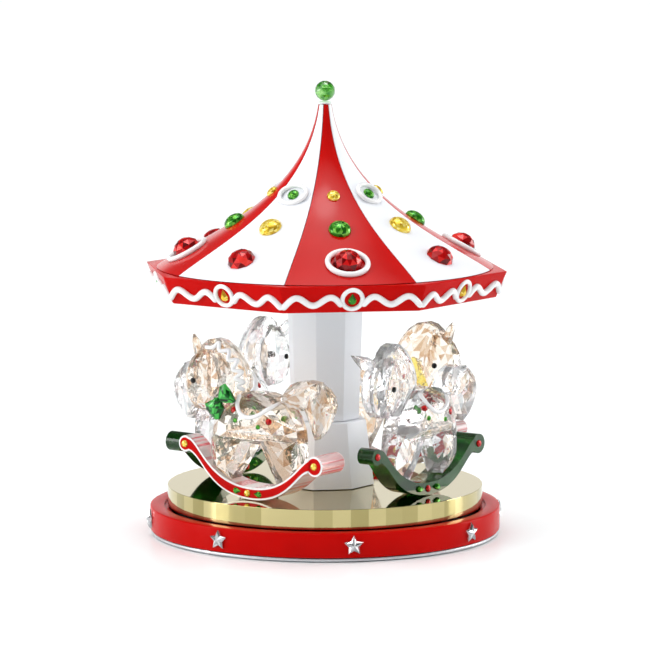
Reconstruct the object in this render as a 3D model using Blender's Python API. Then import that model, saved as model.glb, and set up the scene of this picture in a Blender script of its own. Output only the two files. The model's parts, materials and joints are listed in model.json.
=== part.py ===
"""Carousel music box: a turning platform of four crystal rocking horses under a striped tent roof.

The frame is metres with +Z up. The origin is the centre of the base's underside, and the front is -Y.
Lengths below are millimetres, and MM turns them into metres when a mesh is made.
"""

import math
import random

import bmesh
import bpy
from mathutils import Matrix, Vector

MM = 0.001
GAP = 0.3
FULL_TURN = 2 * math.pi
SIDES = 8
ROUND_SEGMENTS = 72
SMALL_ROUND_SEGMENTS = 24
SMOOTH_ANGLE = math.radians(40)

# Base housing
BASE_RADIUS = 85.5
BASE_INNER_RADIUS = 78.4
BASE_BOTTOM = 2.2
BASE_TOP = 13.9
BASE_EDGE = 0.9
TRIM_INNER_RADIUS = 82.0
TRIM_OUTER_RADIUS = 85.0
TRIM_BOTTOM = 0.5
FOOT_INNER_RADIUS = 77.5
FOOT_OUTER_RADIUS = 81.5
PLATE_BOTTOM = 5.0
PLATE_TOP = 6.6
STAR_RADIUS = 4.9
STAR_WAIST = 0.5
STAR_BACK = 85.8
STAR_EDGE = 0.5
STAR_DEPTH = 2.0
STAR_HEIGHT = 8.2
BEVEL_MIDDLE = 0.3

# Turntable and column
DISC_RADIUS = 77.0
DISC_BOTTOM = 14.2
DISC_TOP = 23.8
DISC_WALL = 2.0
DISC_EDGE = 0.5
DISC_BORE = 3.0
COLUMN_LEDGE = 0.3
COLUMN_CHAMFER = 0.6
COLUMN_STEP = 56.0
COLUMN_LOWER_RADII = (24.6, 20.2)
COLUMN_UPPER_RADII = (17.0, 19.0)

# Roof
RIM_TOP = 130.4
RIM_BOTTOM = 117.6
RIM_TOP_RADIUS = 90.1
RIM_BOTTOM_RADIUS = 84.7
RIM_WALL = 2.5
RIM_LEDGE = 2.5
RIM_LEDGE_INNER_RADIUS = 80.0
SOFFIT_THICKNESS = 1.5
TENT_POINTS = ((81.8, 130.7), (56.7, 146.3), (10.1, 163.4), (3.2, 209.3))
TENT_WALL = 1.4
TENT_PROFILE_STEPS = 8
TENT_WEDGE_STEPS = 5
COLLAR_BOTTOM = 209.6
COLLAR_TOP = 210.6
COLLAR_RADIUS = 3.0
FINIAL_RADIUS = 4.95
FINIAL_CENTRE = 215.8
FINIAL_BANDS = 12
COLLAR_EDGE = 0.3

# Movement: the spindle, the barrel and the key stand upright, and the cylinder and governor lie along X
BARREL_X = -20.0
BARREL_RADIUS = 10.2
BARREL_WALL = 0.8
BARREL_BOTTOM = 9.0
GEAR_BOTTOM = 17.2
GEAR_TOP = 18.8
DRIVE_MODULE = 0.8
SPINDLE_TEETH = 20
BARREL_TEETH = 30
CROWN_TEETH = 12
SPINDLE_RADIUS = 2.0
SHOULDER_RADIUS = 5.0
SHOULDER_BOTTOM = 14.3
SPINDLE_TOP = 21.5
BEARING_RADIUS = 6.0
ARBOR_RADIUS = 1.6
ARBOR_BORE = 2.2
KEY_BOTTOM = 0.8
KEY_TOP = 4.7
KEY_HALF_WIDTH = 9.0
KEY_THICKNESS = 1.6
CYLINDER_Z = 13.2
CYLINDER_RADIUS = 3.8
CYLINDER_ARBOR_RADIUS = 1.0
CYLINDER_START = 18.0
CYLINDER_END = 37.0
CYLINDER_COLUMNS = 24
PIN_HEIGHT = 0.5
PIN_CHANCE = 0.42
COMB_NOTES = 18
COMB_TIP_Y = 4.7
COMB_ROOT_Y = 11.5
COMB_BACK_Y = 22.0
COMB_BOTTOM = 12.7
COMB_THICKNESS = 0.9
SCREW_Y = 17.0
SCREW_HEAD_RADIUS = 2.0
SCREW_SHANK_RADIUS = 1.0
GOVERNOR_MODULE = 0.4
GOVERNOR_RADIUS = 0.7
WHEEL_TEETH = 28
PINION_TEETH = 8
WHEEL_START = 39.9
WHEEL_END = 41.1
ARBOR_START = 13.4
ARBOR_END = 42.0
BRACKET_WALL = 1.5
BRACKET_FIRST = 15.9
BRACKET_SECOND = 37.8
BRACKET_TOP = 16.0
BRACKET_BAR = 1.4
BRACKET_MARGIN = 2.3
CROWN_WEB = (13.8, 15.2)
CROWN_PEGS = (11.7, 14.2)
CROWN_RIM = 0.7
PEG_HALF_LENGTH = 0.5
PEG_HALF_WIDTH = 0.35
FAN_HALF_WIDTH = 2.3
FAN_HALF_THICKNESS = 0.3
FAN_START = 22.0
FAN_END = 35.0
BEDPLATE_FRONT_Y = 5.0
BEDPLATE_BACK_Y = 26.0
BEDPLATE_MARGIN = 1.0
COMB_SHELF = 0.5
TOOTH_SHARE = 0.7
SCREW_INSET = 4.5
SCREW_RIM = 0.9
SCREW_CROWN = 1.4
SPRING_TURNS = 4
SPRING_STEPS = 14
SPRING_START_RADIUS = 2.6
SPRING_PITCH = 1.55
SPRING_THICKNESS = 0.4
KEY_WAIST_SHARE = 0.35
KEY_WAIST_RISE = 0.7
KEY_TIP = 1.0

# Horses, in a local frame: u forward, w outward and v up from the line between the rocker's rolls
HORSE_ANGLES = (-45, 45, 135, -135)
HORSE_RADIUS = 55.0
HORSE_HEIGHT = DISC_TOP + 21.8
HORSE_PITCH = math.radians(2.3)
ROLL_HALF_SPAN = 40.0
ROLL_RADII = (3.9, 4.8)
ROCKER_DROP = 21.4
ROCKER_TOP_DROP = 15.6
ROCKER_LOWER = ((2.0, -3.0), (11.0, -4.0), (14.0, -ROCKER_DROP), (ROLL_HALF_SPAN, -ROCKER_DROP))
ROCKER_UPPER = ((1.5, 3.5), (9.0, 3.0), (14.0, -ROCKER_TOP_DROP), (ROLL_HALF_SPAN, -ROCKER_TOP_DROP))
ROCKER_HALF_WIDTH = 6.6
ROCKER_TAPER = 0.05
ROLL_SEGMENTS = 20
BOW_NEAR = 9.6
BOW_FAR = 11.6
BOW_KNOT_RADIUS = 2.0
BOW_KNOT_RISE = 0.8
BOW_KNOT_CENTRE = (16.9, 24.4)

RED = ("red_lacquer", (0.75, 0.01, 0.01), 0.12, 0.0, 0.0)
WHITE = ("white_enamel", (0.86, 0.88, 0.91), 0.2, 0.0, 0.0)
GOLD = ("gold_plate", (0.83, 0.66, 0.33), 0.08, 1.0, 0.0)
SILVER = ("silver_trim", (0.8, 0.8, 0.82), 0.2, 1.0, 0.0)
STEEL = ("spring_steel", (0.55, 0.56, 0.58), 0.3, 1.0, 0.0)
BRASS = ("movement_brass", (0.75, 0.57, 0.27), 0.3, 1.0, 0.0)
RUBBER = ("foot_rubber", (0.04, 0.04, 0.04), 0.8, 0.0, 0.0)
BLACK = ("plate_plastic", (0.05, 0.05, 0.05), 0.5, 0.0, 0.0)
CLEAR = ("clear_crystal", (0.97, 0.98, 1.0), 0.0, 0.0, 1.0)
CHAMPAGNE = ("champagne_crystal", (0.98, 0.86, 0.74), 0.0, 0.0, 1.0)
GREEN = ("green_crystal", (0.02, 0.32, 0.07), 0.02, 0.0, 1.0)
YELLOW = ("yellow_crystal", (0.95, 0.7, 0.03), 0.02, 0.0, 1.0)
RED_ROCKER = ("rocker_red", (0.8, 0.03, 0.03), 0.1, 0.0, 0.0)
GREEN_ROCKER = ("rocker_green", (0.01, 0.13, 0.03), 0.05, 0.0, 0.6)


# Materials, meshes and objects


def material(finish):
    """The Principled material of this finish, made once."""
    name, colour, roughness, metallic, transmission = finish
    if name in bpy.data.materials:
        return bpy.data.materials[name]
    made = bpy.data.materials.new(name)
    made.use_nodes = True
    shader = made.node_tree.nodes["Principled BSDF"]
    shader.inputs["Base Color"].default_value = (*colour, 1.0)
    shader.inputs["Roughness"].default_value = roughness
    shader.inputs["Metallic"].default_value = metallic
    shader.inputs["Transmission Weight"].default_value = transmission
    return made


def mesh_of(name, bm):
    """A mesh in metres from a bmesh in millimetres, with its faces turned outwards."""
    bmesh.ops.recalc_face_normals(bm, faces=bm.faces)
    bmesh.ops.scale(bm, vec=(MM, MM, MM), verts=bm.verts)
    mesh = bpy.data.meshes.new(name)
    bm.to_mesh(mesh)
    bm.free()
    return mesh


def piece(name, mesh, finish, parent=None, smooth=False):
    """One named object that shows this mesh."""
    obj = bpy.data.objects.new(name, mesh)
    bpy.context.scene.collection.objects.link(obj)
    if not mesh.materials:
        mesh.materials.append(material(finish))
    if smooth:
        mesh.shade_smooth()
        mesh.set_sharp_from_angle(angle=SMOOTH_ANGLE)
    obj.parent = parent
    return obj


def axis_empty(name, place=(0, 0, 0), turn=(0, 0, 0)):
    """An empty on a joint's axis, with its local Z along that axis."""
    empty = bpy.data.objects.new(name, None)
    empty.location = Vector(place) * MM
    empty.rotation_euler = turn
    bpy.context.scene.collection.objects.link(empty)
    return empty


def combine(name, meshes, operation="UNION"):
    """The first mesh joined with the others, or cut by them, as one new mesh."""
    helpers = []
    for index, mesh in enumerate(meshes):
        helper = bpy.data.objects.new(f"{name}_helper_{index}", mesh)
        helper.hide_render = True
        helper.display_type = "WIRE"
        bpy.context.scene.collection.objects.link(helper)
        helpers.append(helper)
    for helper in helpers[1:]:
        boolean = helpers[0].modifiers.new(helper.name, "BOOLEAN")
        boolean.operation = operation
        boolean.solver = "EXACT"
        boolean.object = helper
    bpy.context.view_layer.update()
    graph = bpy.context.evaluated_depsgraph_get()
    result = bpy.data.meshes.new_from_object(helpers[0].evaluated_get(graph))
    result.name = name
    for helper in helpers:
        bpy.data.objects.remove(helper)
    return result


# Shapes


def loft(name, rings, closed=False):
    """A solid skinned over rings of equally many points, capped at both ends or closed on itself."""
    bm = bmesh.new()
    rows = [[bm.verts.new(point) for point in ring] for ring in rings]
    pairs = list(zip(rows, rows[1:]))
    if closed:
        pairs.append((rows[-1], rows[0]))
    else:
        bm.faces.new(rows[0])
        bm.faces.new(rows[-1])
    for first, second in pairs:
        for index in range(len(first)):
            after = (index + 1) % len(first)
            bm.faces.new((first[index], first[after], second[after], second[index]))
    return mesh_of(name, bm)


def circle(radius, z, segments, centre=(0, 0)):
    """Points round an upright axis at one height."""
    angles = [FULL_TURN * step / segments for step in range(segments)]
    return [(centre[0] + radius * math.cos(a), centre[1] + radius * math.sin(a), z) for a in angles]


def turned(name, profile, segments=ROUND_SEGMENTS):
    """A turned solid: the profile runs over (radius, z) from one flat end to the other."""
    return loft(name, [circle(radius, z, segments) for radius, z in profile])


def turned_ring(name, profile, segments=ROUND_SEGMENTS):
    """A turned ring with an open middle: the profile is a closed loop of (radius, z)."""
    angles = [FULL_TURN * step / segments for step in range(segments)]
    rings = [[(r * math.cos(a), r * math.sin(a), z) for r, z in profile] for a in angles]
    return loft(name, rings, closed=True)


def octagon_turn(corner):
    """The angle of a corner of the octagon whose flat sides face the front and the axes."""
    return FULL_TURN * (corner + 0.5) / SIDES


def octagonal(name, profile):
    """An eight-sided solid: the profile runs over (corner radius, z) from one flat end to the other."""
    corners = [octagon_turn(corner) for corner in range(SIDES)]
    return loft(name, [[(r * math.cos(a), r * math.sin(a), z) for a in corners] for r, z in profile])


def octagonal_ring(name, profile):
    """An eight-sided ring with an open middle."""
    corners = [octagon_turn(corner) for corner in range(SIDES)]
    rings = [[(r * math.cos(a), r * math.sin(a), z) for r, z in profile] for a in corners]
    return loft(name, rings, closed=True)


def extruded(name, outline, direction, start, end):
    """A flat outline pushed along X, Y or Z: the outline's points hold the other two coordinates in order."""

    def placed(point, depth):
        values = list(point)
        values.insert("XYZ".index(direction), depth)
        return tuple(values)

    return loft(name, [[placed(point, depth) for point in outline] for depth in (start, end)])


def curve_point(points, share):
    """The point this share of the way along a cubic curve with four control points."""
    back = 1 - share
    weights = (back**3, 3 * back**2 * share, 3 * back * share**2, share**3)
    return Vector([sum(w * p[i] for w, p in zip(weights, points)) for i in range(2)])


def hull(name, points):
    """The convex crystal round points (u, v, half width), which are mirrored to both sides."""
    bm = bmesh.new()
    for u, v, half_width in points:
        bm.verts.new((u, half_width, v))
        bm.verts.new((u, -half_width, v))
    found = bmesh.ops.convex_hull(bm, input=bm.verts)
    unused = [item for item in found["geom_interior"] if isinstance(item, bmesh.types.BMVert)]
    bmesh.ops.delete(bm, geom=unused, context="VERTS")
    return mesh_of(name, bm)


def tooth_points(teeth, module, first_tooth):
    """(angle, radius) round a wheel of straight-sided teeth, with one tooth centred on first_tooth."""
    pitch_radius = teeth * module / 2
    root = pitch_radius - 1.1 * module
    tip = pitch_radius + 0.85 * module
    root_half = 0.8 * module / root
    tip_half = 0.42 * module / tip
    points = []
    for tooth in range(teeth):
        middle = first_tooth + FULL_TURN * tooth / teeth
        points += [(middle - root_half, root), (middle - tip_half, tip)]
        points += [(middle + tip_half, tip), (middle + root_half, root)]
    return points


def solid_gear(name, teeth, module, bottom, top, first_tooth=0.0):
    """A toothed wheel with no bore."""
    flat = [(r * math.cos(a), r * math.sin(a)) for a, r in tooth_points(teeth, module, first_tooth)]
    return extruded(name, flat, "Z", bottom, top)


def bored_gear(name, teeth, module, bore, bottom, top, first_tooth=0.0):
    """A toothed wheel with a round bore."""
    rings = []
    for angle, radius in tooth_points(teeth, module, first_tooth):
        section = ((radius, bottom), (radius, top), (bore, top), (bore, bottom))
        rings.append([(r * math.cos(angle), r * math.sin(angle), z) for r, z in section])
    return loft(name, rings, closed=True)


def rod(name, radius, start, end, centre=(0, 0)):
    """A round bar along Z."""
    rings = [circle(radius, z, SMALL_ROUND_SEGMENTS, centre) for z in (start, end)]
    return loft(name, rings)


# Base housing and its stones


def add_base():
    ring = [(BASE_RADIUS, BASE_BOTTOM), (BASE_RADIUS, BASE_TOP - BASE_EDGE)]
    soft = BEVEL_MIDDLE * BASE_EDGE
    ring += [(BASE_RADIUS - soft, BASE_TOP - soft), (BASE_RADIUS - BASE_EDGE, BASE_TOP)]
    ring += [(BASE_INNER_RADIUS, BASE_TOP), (BASE_INNER_RADIUS, BASE_BOTTOM)]
    piece("base_ring", turned_ring("base_ring", ring), RED, smooth=True)

    top = BASE_BOTTOM - GAP
    trim = [(TRIM_OUTER_RADIUS, TRIM_BOTTOM), (TRIM_OUTER_RADIUS, top)]
    trim += [(TRIM_INNER_RADIUS, top), (TRIM_INNER_RADIUS, TRIM_BOTTOM)]
    piece("base_trim_ring", turned_ring("base_trim_ring", trim), SILVER, smooth=True)

    foot = [(FOOT_OUTER_RADIUS, 0), (FOOT_OUTER_RADIUS, top), (FOOT_INNER_RADIUS, top), (FOOT_INNER_RADIUS, 0)]
    piece("foot_ring", turned_ring("foot_ring", foot), RUBBER, smooth=True)

    radius = BASE_INNER_RADIUS - GAP
    plate = turned("plate", [(radius, PLATE_BOTTOM), (radius, PLATE_TOP)])
    hole = rod("key_hole", ARBOR_BORE, PLATE_BOTTOM - 1, PLATE_TOP + 1, (BARREL_X, 0))
    piece("bottom_plate", combine("bottom_plate", [plate, hole], "DIFFERENCE"), BLACK)


def star_mesh():
    """A five-pointed stone with ridges that meet at a raised middle, facing -Y."""
    points = 10
    outline = []
    for step in range(points):
        radius = STAR_RADIUS if step % 2 == 0 else STAR_RADIUS * STAR_WAIST
        angle = math.pi / 2 + FULL_TURN * step / points
        outline.append((radius * math.cos(angle), radius * math.sin(angle)))
    bm = bmesh.new()
    back = [bm.verts.new((x, -STAR_BACK, STAR_HEIGHT + z)) for x, z in outline]
    edge = [bm.verts.new((x, -STAR_BACK - STAR_EDGE, STAR_HEIGHT + z)) for x, z in outline]
    middle = bm.verts.new((0, -STAR_BACK - STAR_DEPTH, STAR_HEIGHT))
    bm.faces.new(back)
    for index in range(points):
        after = (index + 1) % points
        bm.faces.new((back[index], back[after], edge[after], edge[index]))
        bm.faces.new((edge[index], edge[after], middle))
    return mesh_of("star_stone", bm)


def add_stars():
    mesh = star_mesh()
    for index in range(SIDES):
        star = piece(f"star_stone_{index + 1}", mesh, CLEAR)
        star.rotation_euler = (0, 0, FULL_TURN * index / SIDES)


# Movement


def add_key(axis):
    arbor = rod("arbor", ARBOR_RADIUS, KEY_TOP - 1, GEAR_TOP)
    waist = KEY_WAIST_SHARE * KEY_HALF_WIDTH
    waist_bottom = KEY_BOTTOM + KEY_WAIST_RISE
    middle = (KEY_BOTTOM + KEY_TOP) / 2
    outline = [(-KEY_HALF_WIDTH, KEY_BOTTOM), (-waist, waist_bottom), (waist, waist_bottom)]
    outline += [(KEY_HALF_WIDTH, KEY_BOTTOM), (KEY_HALF_WIDTH + KEY_TIP, middle), (KEY_HALF_WIDTH, KEY_TOP)]
    outline += [(-KEY_HALF_WIDTH, KEY_TOP), (-KEY_HALF_WIDTH - KEY_TIP, middle)]
    handle = extruded("handle", outline, "Y", -KEY_THICKNESS / 2, KEY_THICKNESS / 2)
    piece("winding_key", combine("winding_key", [handle, arbor]), STEEL, axis)


def add_barrel(axis):
    top = GEAR_BOTTOM - GAP
    cup = [(ARBOR_BORE, BARREL_BOTTOM), (BARREL_RADIUS, BARREL_BOTTOM), (BARREL_RADIUS, top)]
    cup += [(BARREL_RADIUS - BARREL_WALL, top), (BARREL_RADIUS - BARREL_WALL, BARREL_BOTTOM + BARREL_WALL)]
    cup += [(ARBOR_BORE, BARREL_BOTTOM + BARREL_WALL)]
    piece("spring_barrel", turned_ring("spring_barrel", cup, SMALL_ROUND_SEGMENTS), STEEL, axis, smooth=True)

    # A gap faces the spindle, whose own tooth fills it, and another faces the crown wheel's peg.
    half_pitch = math.pi / BARREL_TEETH
    gear = bored_gear("barrel_gear", BARREL_TEETH, DRIVE_MODULE, ARBOR_BORE, GEAR_BOTTOM, GEAR_TOP, half_pitch)
    piece("barrel_gear", gear, BRASS, axis)

    low = BARREL_BOTTOM + BARREL_WALL + GAP
    rings = []
    for step in range(SPRING_TURNS * SPRING_STEPS + 1):
        angle = FULL_TURN * step / SPRING_STEPS
        radius = SPRING_START_RADIUS + SPRING_PITCH * step / SPRING_STEPS
        outer = radius + SPRING_THICKNESS
        section = ((radius, low), (radius, top - GAP), (outer, top - GAP), (outer, low))
        rings.append([(r * math.cos(angle), r * math.sin(angle), z) for r, z in section])
    piece("mainspring", loft("mainspring", rings), STEEL, axis)


def add_cylinder(axis):
    """The pinned cylinder, its crown wheel and its gear wheel, along the local Z of their axis."""
    drum_length = CYLINDER_END - CYLINDER_START
    band = drum_length / (2 * COMB_NOTES + 1)
    profile = [(CYLINDER_ARBOR_RADIUS, ARBOR_START), (CYLINDER_ARBOR_RADIUS, CYLINDER_START)]
    profile += [(CYLINDER_RADIUS, CYLINDER_START + band * step) for step in range(2 * COMB_NOTES + 2)]
    profile += [(CYLINDER_ARBOR_RADIUS, CYLINDER_END), (CYLINDER_ARBOR_RADIUS, ARBOR_END)]
    bm = bmesh.new()
    rows = [[bm.verts.new(point) for point in circle(r, -z, CYLINDER_COLUMNS)] for r, z in profile]
    bm.faces.new(rows[0])
    bm.faces.new(rows[-1])
    pins = []
    tune = random.Random(18)
    for row in range(len(rows) - 1):
        note_row = row - 2
        on_track = 0 <= note_row < 2 * COMB_NOTES + 1 and note_row % 2 == 1
        for column in range(CYLINDER_COLUMNS):
            after = (column + 1) % CYLINDER_COLUMNS
            corners = (rows[row][column], rows[row][after], rows[row + 1][after], rows[row + 1][column])
            face = bm.faces.new(corners)
            if on_track and column % 2 == 0 and tune.random() < PIN_CHANCE:
                pins.append(face)
    bmesh.ops.recalc_face_normals(bm, faces=bm.faces)
    raised = bmesh.ops.extrude_discrete_faces(bm, faces=pins)
    for face in raised["faces"]:
        outward = face.calc_center_median()
        outward.z = 0
        bmesh.ops.translate(bm, vec=outward.normalized() * PIN_HEIGHT, verts=face.verts)
    piece("music_cylinder", mesh_of("music_cylinder", bm), BRASS, axis)

    radius = CROWN_TEETH * DRIVE_MODULE / 2
    bore = CYLINDER_ARBOR_RADIUS + GAP
    outer = radius + CROWN_RIM
    near, far = CROWN_WEB
    web = [(bore, -far), (outer, -far), (outer, -near), (bore, -near)]
    parts = [turned_ring("crown_web", web, SMALL_ROUND_SEGMENTS)]
    low, high = radius - PEG_HALF_LENGTH, radius + PEG_HALF_LENGTH
    side = PEG_HALF_WIDTH
    corners = ((low, -side), (high, -side), (high, side), (low, side))
    for tooth in range(CROWN_TEETH):
        turn = Matrix.Rotation(FULL_TURN * tooth / CROWN_TEETH, 3, "Z")
        rings = [[turn @ Vector((x, y, -z)) for x, y in corners] for z in CROWN_PEGS]
        parts.append(loft("crown_tooth", rings))
    piece("crown_wheel", combine("crown_wheel", parts), BRASS, axis)

    wheel = bored_gear("cylinder_wheel", WHEEL_TEETH, GOVERNOR_MODULE, bore, -WHEEL_END, -WHEEL_START)
    piece("cylinder_wheel", wheel, BRASS, axis)


def add_governor(axis):
    """The air brake: a pinion on a thin spindle with a flat fan."""
    half_pitch = math.pi / PINION_TEETH
    pinion = solid_gear("pinion", PINION_TEETH, GOVERNOR_MODULE, -WHEEL_END, -WHEEL_START, half_pitch)
    spindle = rod("spindle", GOVERNOR_RADIUS, -ARBOR_END, -ARBOR_START)
    wide, thin = FAN_HALF_WIDTH, FAN_HALF_THICKNESS
    outline = [(-wide, -thin), (wide, -thin), (wide, thin), (-wide, thin)]
    blade = extruded("blade", outline, "Z", -FAN_END, -FAN_START)
    piece("governor_fan", combine("governor_fan", [pinion, spindle, blade]), STEEL, axis)


def bracket_mesh(governor_y):
    """One bent strip that carries both ends of the cylinder and of the governor."""
    bottom = PLATE_TOP + GAP
    far = BARREL_X - BRACKET_SECOND - BRACKET_WALL
    near = BARREL_X - BRACKET_FIRST
    outline = [(far, bottom), (near, bottom), (near, BRACKET_TOP), (near - BRACKET_WALL, BRACKET_TOP)]
    outline += [(near - BRACKET_WALL, bottom + BRACKET_BAR), (far + BRACKET_WALL, bottom + BRACKET_BAR)]
    outline += [(far + BRACKET_WALL, BRACKET_TOP), (far, BRACKET_TOP)]
    strip = extruded("strip", outline, "Y", governor_y - BRACKET_MARGIN, CYLINDER_RADIUS)
    holes = []
    for hole_y, radius in ((0, CYLINDER_ARBOR_RADIUS + GAP), (governor_y, GOVERNOR_RADIUS + GAP)):
        rings = []
        for x in (far - 1, near + 1):
            rings.append([(x, hole_y + a, CYLINDER_Z + b) for a, b, _ in circle(radius, 0, SMALL_ROUND_SEGMENTS)])
        holes.append(loft("hole", rings))
    return combine("movement_bracket", [strip, *holes], "DIFFERENCE")


def add_comb():
    bottom = PLATE_TOP + GAP
    left = BARREL_X - CYLINDER_END
    right = BARREL_X - CYLINDER_START
    rest_top = COMB_BOTTOM - GAP
    floor = bottom + BRACKET_BAR
    shelf = COMB_ROOT_Y + COMB_SHELF
    section = [(BEDPLATE_FRONT_Y, bottom), (BEDPLATE_BACK_Y, bottom), (BEDPLATE_BACK_Y, floor)]
    section += [(COMB_BACK_Y, floor), (COMB_BACK_Y, rest_top), (shelf, rest_top), (shelf, floor)]
    section.append((BEDPLATE_FRONT_Y, floor))
    ends = (left - BEDPLATE_MARGIN, right + BEDPLATE_MARGIN)
    piece("comb_bedplate", extruded("comb_bedplate", section, "X", *ends), BRASS)

    pitch = (right - left) / COMB_NOTES
    outline = [(right, COMB_BACK_Y), (left, COMB_BACK_Y)]
    for note in range(COMB_NOTES):
        start = left + pitch * note
        tooth_end = start + TOOTH_SHARE * pitch
        outline += [(start, COMB_TIP_Y), (tooth_end, COMB_TIP_Y), (tooth_end, COMB_ROOT_Y)]
        if note < COMB_NOTES - 1:
            outline.append((start + pitch, COMB_ROOT_Y))
    outline.append((right, COMB_ROOT_Y))
    top = COMB_BOTTOM + COMB_THICKNESS
    blank = extruded("comb_blank", outline, "Z", COMB_BOTTOM, top)
    screw_places = (left + SCREW_INSET, right - SCREW_INSET)
    bore = SCREW_SHANK_RADIUS + GAP
    holes = [rod("hole", bore, COMB_BOTTOM - 1, top + 1, (x, SCREW_Y)) for x in screw_places]
    piece("comb", combine("comb", [blank, *holes], "DIFFERENCE"), STEEL)

    low = top + GAP
    profile = [(SCREW_SHANK_RADIUS, COMB_BOTTOM), (SCREW_SHANK_RADIUS, low), (SCREW_HEAD_RADIUS, low)]
    profile += [(SCREW_HEAD_RADIUS, low + SCREW_RIM), (0.7 * SCREW_HEAD_RADIUS, low + SCREW_CROWN)]
    mesh = turned("comb_screw", profile, SMALL_ROUND_SEGMENTS)
    for index, x in enumerate(screw_places):
        screw = piece(f"comb_screw_{index + 1}", mesh, STEEL, smooth=True)
        screw.location = Vector((x, SCREW_Y, 0)) * MM


def add_movement():
    key_axis = axis_empty("key_axis", (BARREL_X, 0, 0))
    barrel_axis = axis_empty("barrel_axis", (BARREL_X, 0, 0))
    # The local Z of these two lies along +X, so their pieces reach back along -Z.
    quarter_turn = (0, math.pi / 2, 0)
    cylinder_axis = axis_empty("cylinder_axis", (BARREL_X, 0, CYLINDER_Z), quarter_turn)
    governor_y = -GOVERNOR_MODULE * (WHEEL_TEETH + PINION_TEETH) / 2
    governor_axis = axis_empty("governor_axis", (BARREL_X, governor_y, CYLINDER_Z), quarter_turn)
    add_key(key_axis)
    add_barrel(barrel_axis)
    add_cylinder(cylinder_axis)
    add_governor(governor_axis)
    add_comb()
    piece("movement_bracket", bracket_mesh(governor_y), STEEL)
    bush = [(SPINDLE_RADIUS + GAP, PLATE_TOP + GAP), (BEARING_RADIUS, PLATE_TOP + GAP)]
    bush += [(BEARING_RADIUS, SHOULDER_BOTTOM - GAP), (SPINDLE_RADIUS + GAP, SHOULDER_BOTTOM - GAP)]
    piece("spindle_bearing", turned_ring("spindle_bearing", bush, SMALL_ROUND_SEGMENTS), BRASS, smooth=True)


# Turntable, column and roof


def add_turntable(axis):
    ceiling = DISC_TOP - DISC_WALL
    inner = DISC_RADIUS - DISC_WALL
    profile = [(DISC_BORE, ceiling), (inner, ceiling), (inner, DISC_BOTTOM), (DISC_RADIUS, DISC_BOTTOM)]
    soft = BEVEL_MIDDLE * DISC_EDGE
    profile += [(DISC_RADIUS, DISC_TOP - DISC_EDGE), (DISC_RADIUS - soft, DISC_TOP - soft)]
    profile += [(DISC_RADIUS - DISC_EDGE, DISC_TOP), (DISC_BORE, DISC_TOP)]
    piece("turntable_disc", turned("turntable_disc", profile), GOLD, axis, smooth=True)

    shaft = [(SPINDLE_RADIUS, PLATE_TOP + GAP), (SPINDLE_RADIUS, SHOULDER_BOTTOM)]
    shaft += [(SHOULDER_RADIUS, SHOULDER_BOTTOM), (SHOULDER_RADIUS, SPINDLE_TOP)]
    parts = [turned("shaft", shaft, SMALL_ROUND_SEGMENTS)]
    parts.append(solid_gear("spindle_gear", SPINDLE_TEETH, DRIVE_MODULE, GEAR_BOTTOM, GEAR_TOP))
    piece("drive_spindle", combine("drive_spindle", parts), BRASS, axis)

    bottom, top = COLUMN_LOWER_RADII
    lower = [(bottom, DISC_TOP + GAP), (top + COLUMN_LEDGE, COLUMN_STEP - COLUMN_CHAMFER), (top, COLUMN_STEP)]
    piece("column_lower", octagonal("column_lower", lower), WHITE, axis)
    bottom, top = COLUMN_UPPER_RADII
    upper = [(bottom, COLUMN_STEP + GAP), (top, RIM_BOTTOM)]
    piece("column_upper", octagonal("column_upper", upper), WHITE, axis)


def tent_wedge():
    """One eighth of the tent, centred on the front, with its side edges a hair inside the seams."""
    steps = TENT_PROFILE_STEPS
    outer = [curve_point(TENT_POINTS, step / steps) for step in range(steps + 1)]
    inner = []
    for step, point in enumerate(outer):
        share = step / steps
        ahead = curve_point(TENT_POINTS, min(1, share + 0.01))
        run = ahead - curve_point(TENT_POINTS, max(0, share - 0.01))
        inner.append(point + Vector((-run.y, run.x)).normalized() * TENT_WALL)
    # The lowest inner point stays level with the eaves, so the wedge ends in a flat edge.
    inner[0] = Vector((outer[0].x - 2 * TENT_WALL, outer[0].y))
    loop = outer + inner[::-1]
    half = math.pi / SIDES
    rings = []
    for step in range(TENT_WEDGE_STEPS + 1):
        share = 2 * step / TENT_WEDGE_STEPS - 1
        ring = []
        for radius, z in loop:
            angle = share * (half - math.asin(GAP / 2 / radius)) - math.pi / 2
            ring.append((radius * math.cos(angle), radius * math.sin(angle), z))
        rings.append(ring)
    return loft("roof_panel", rings)


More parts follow.
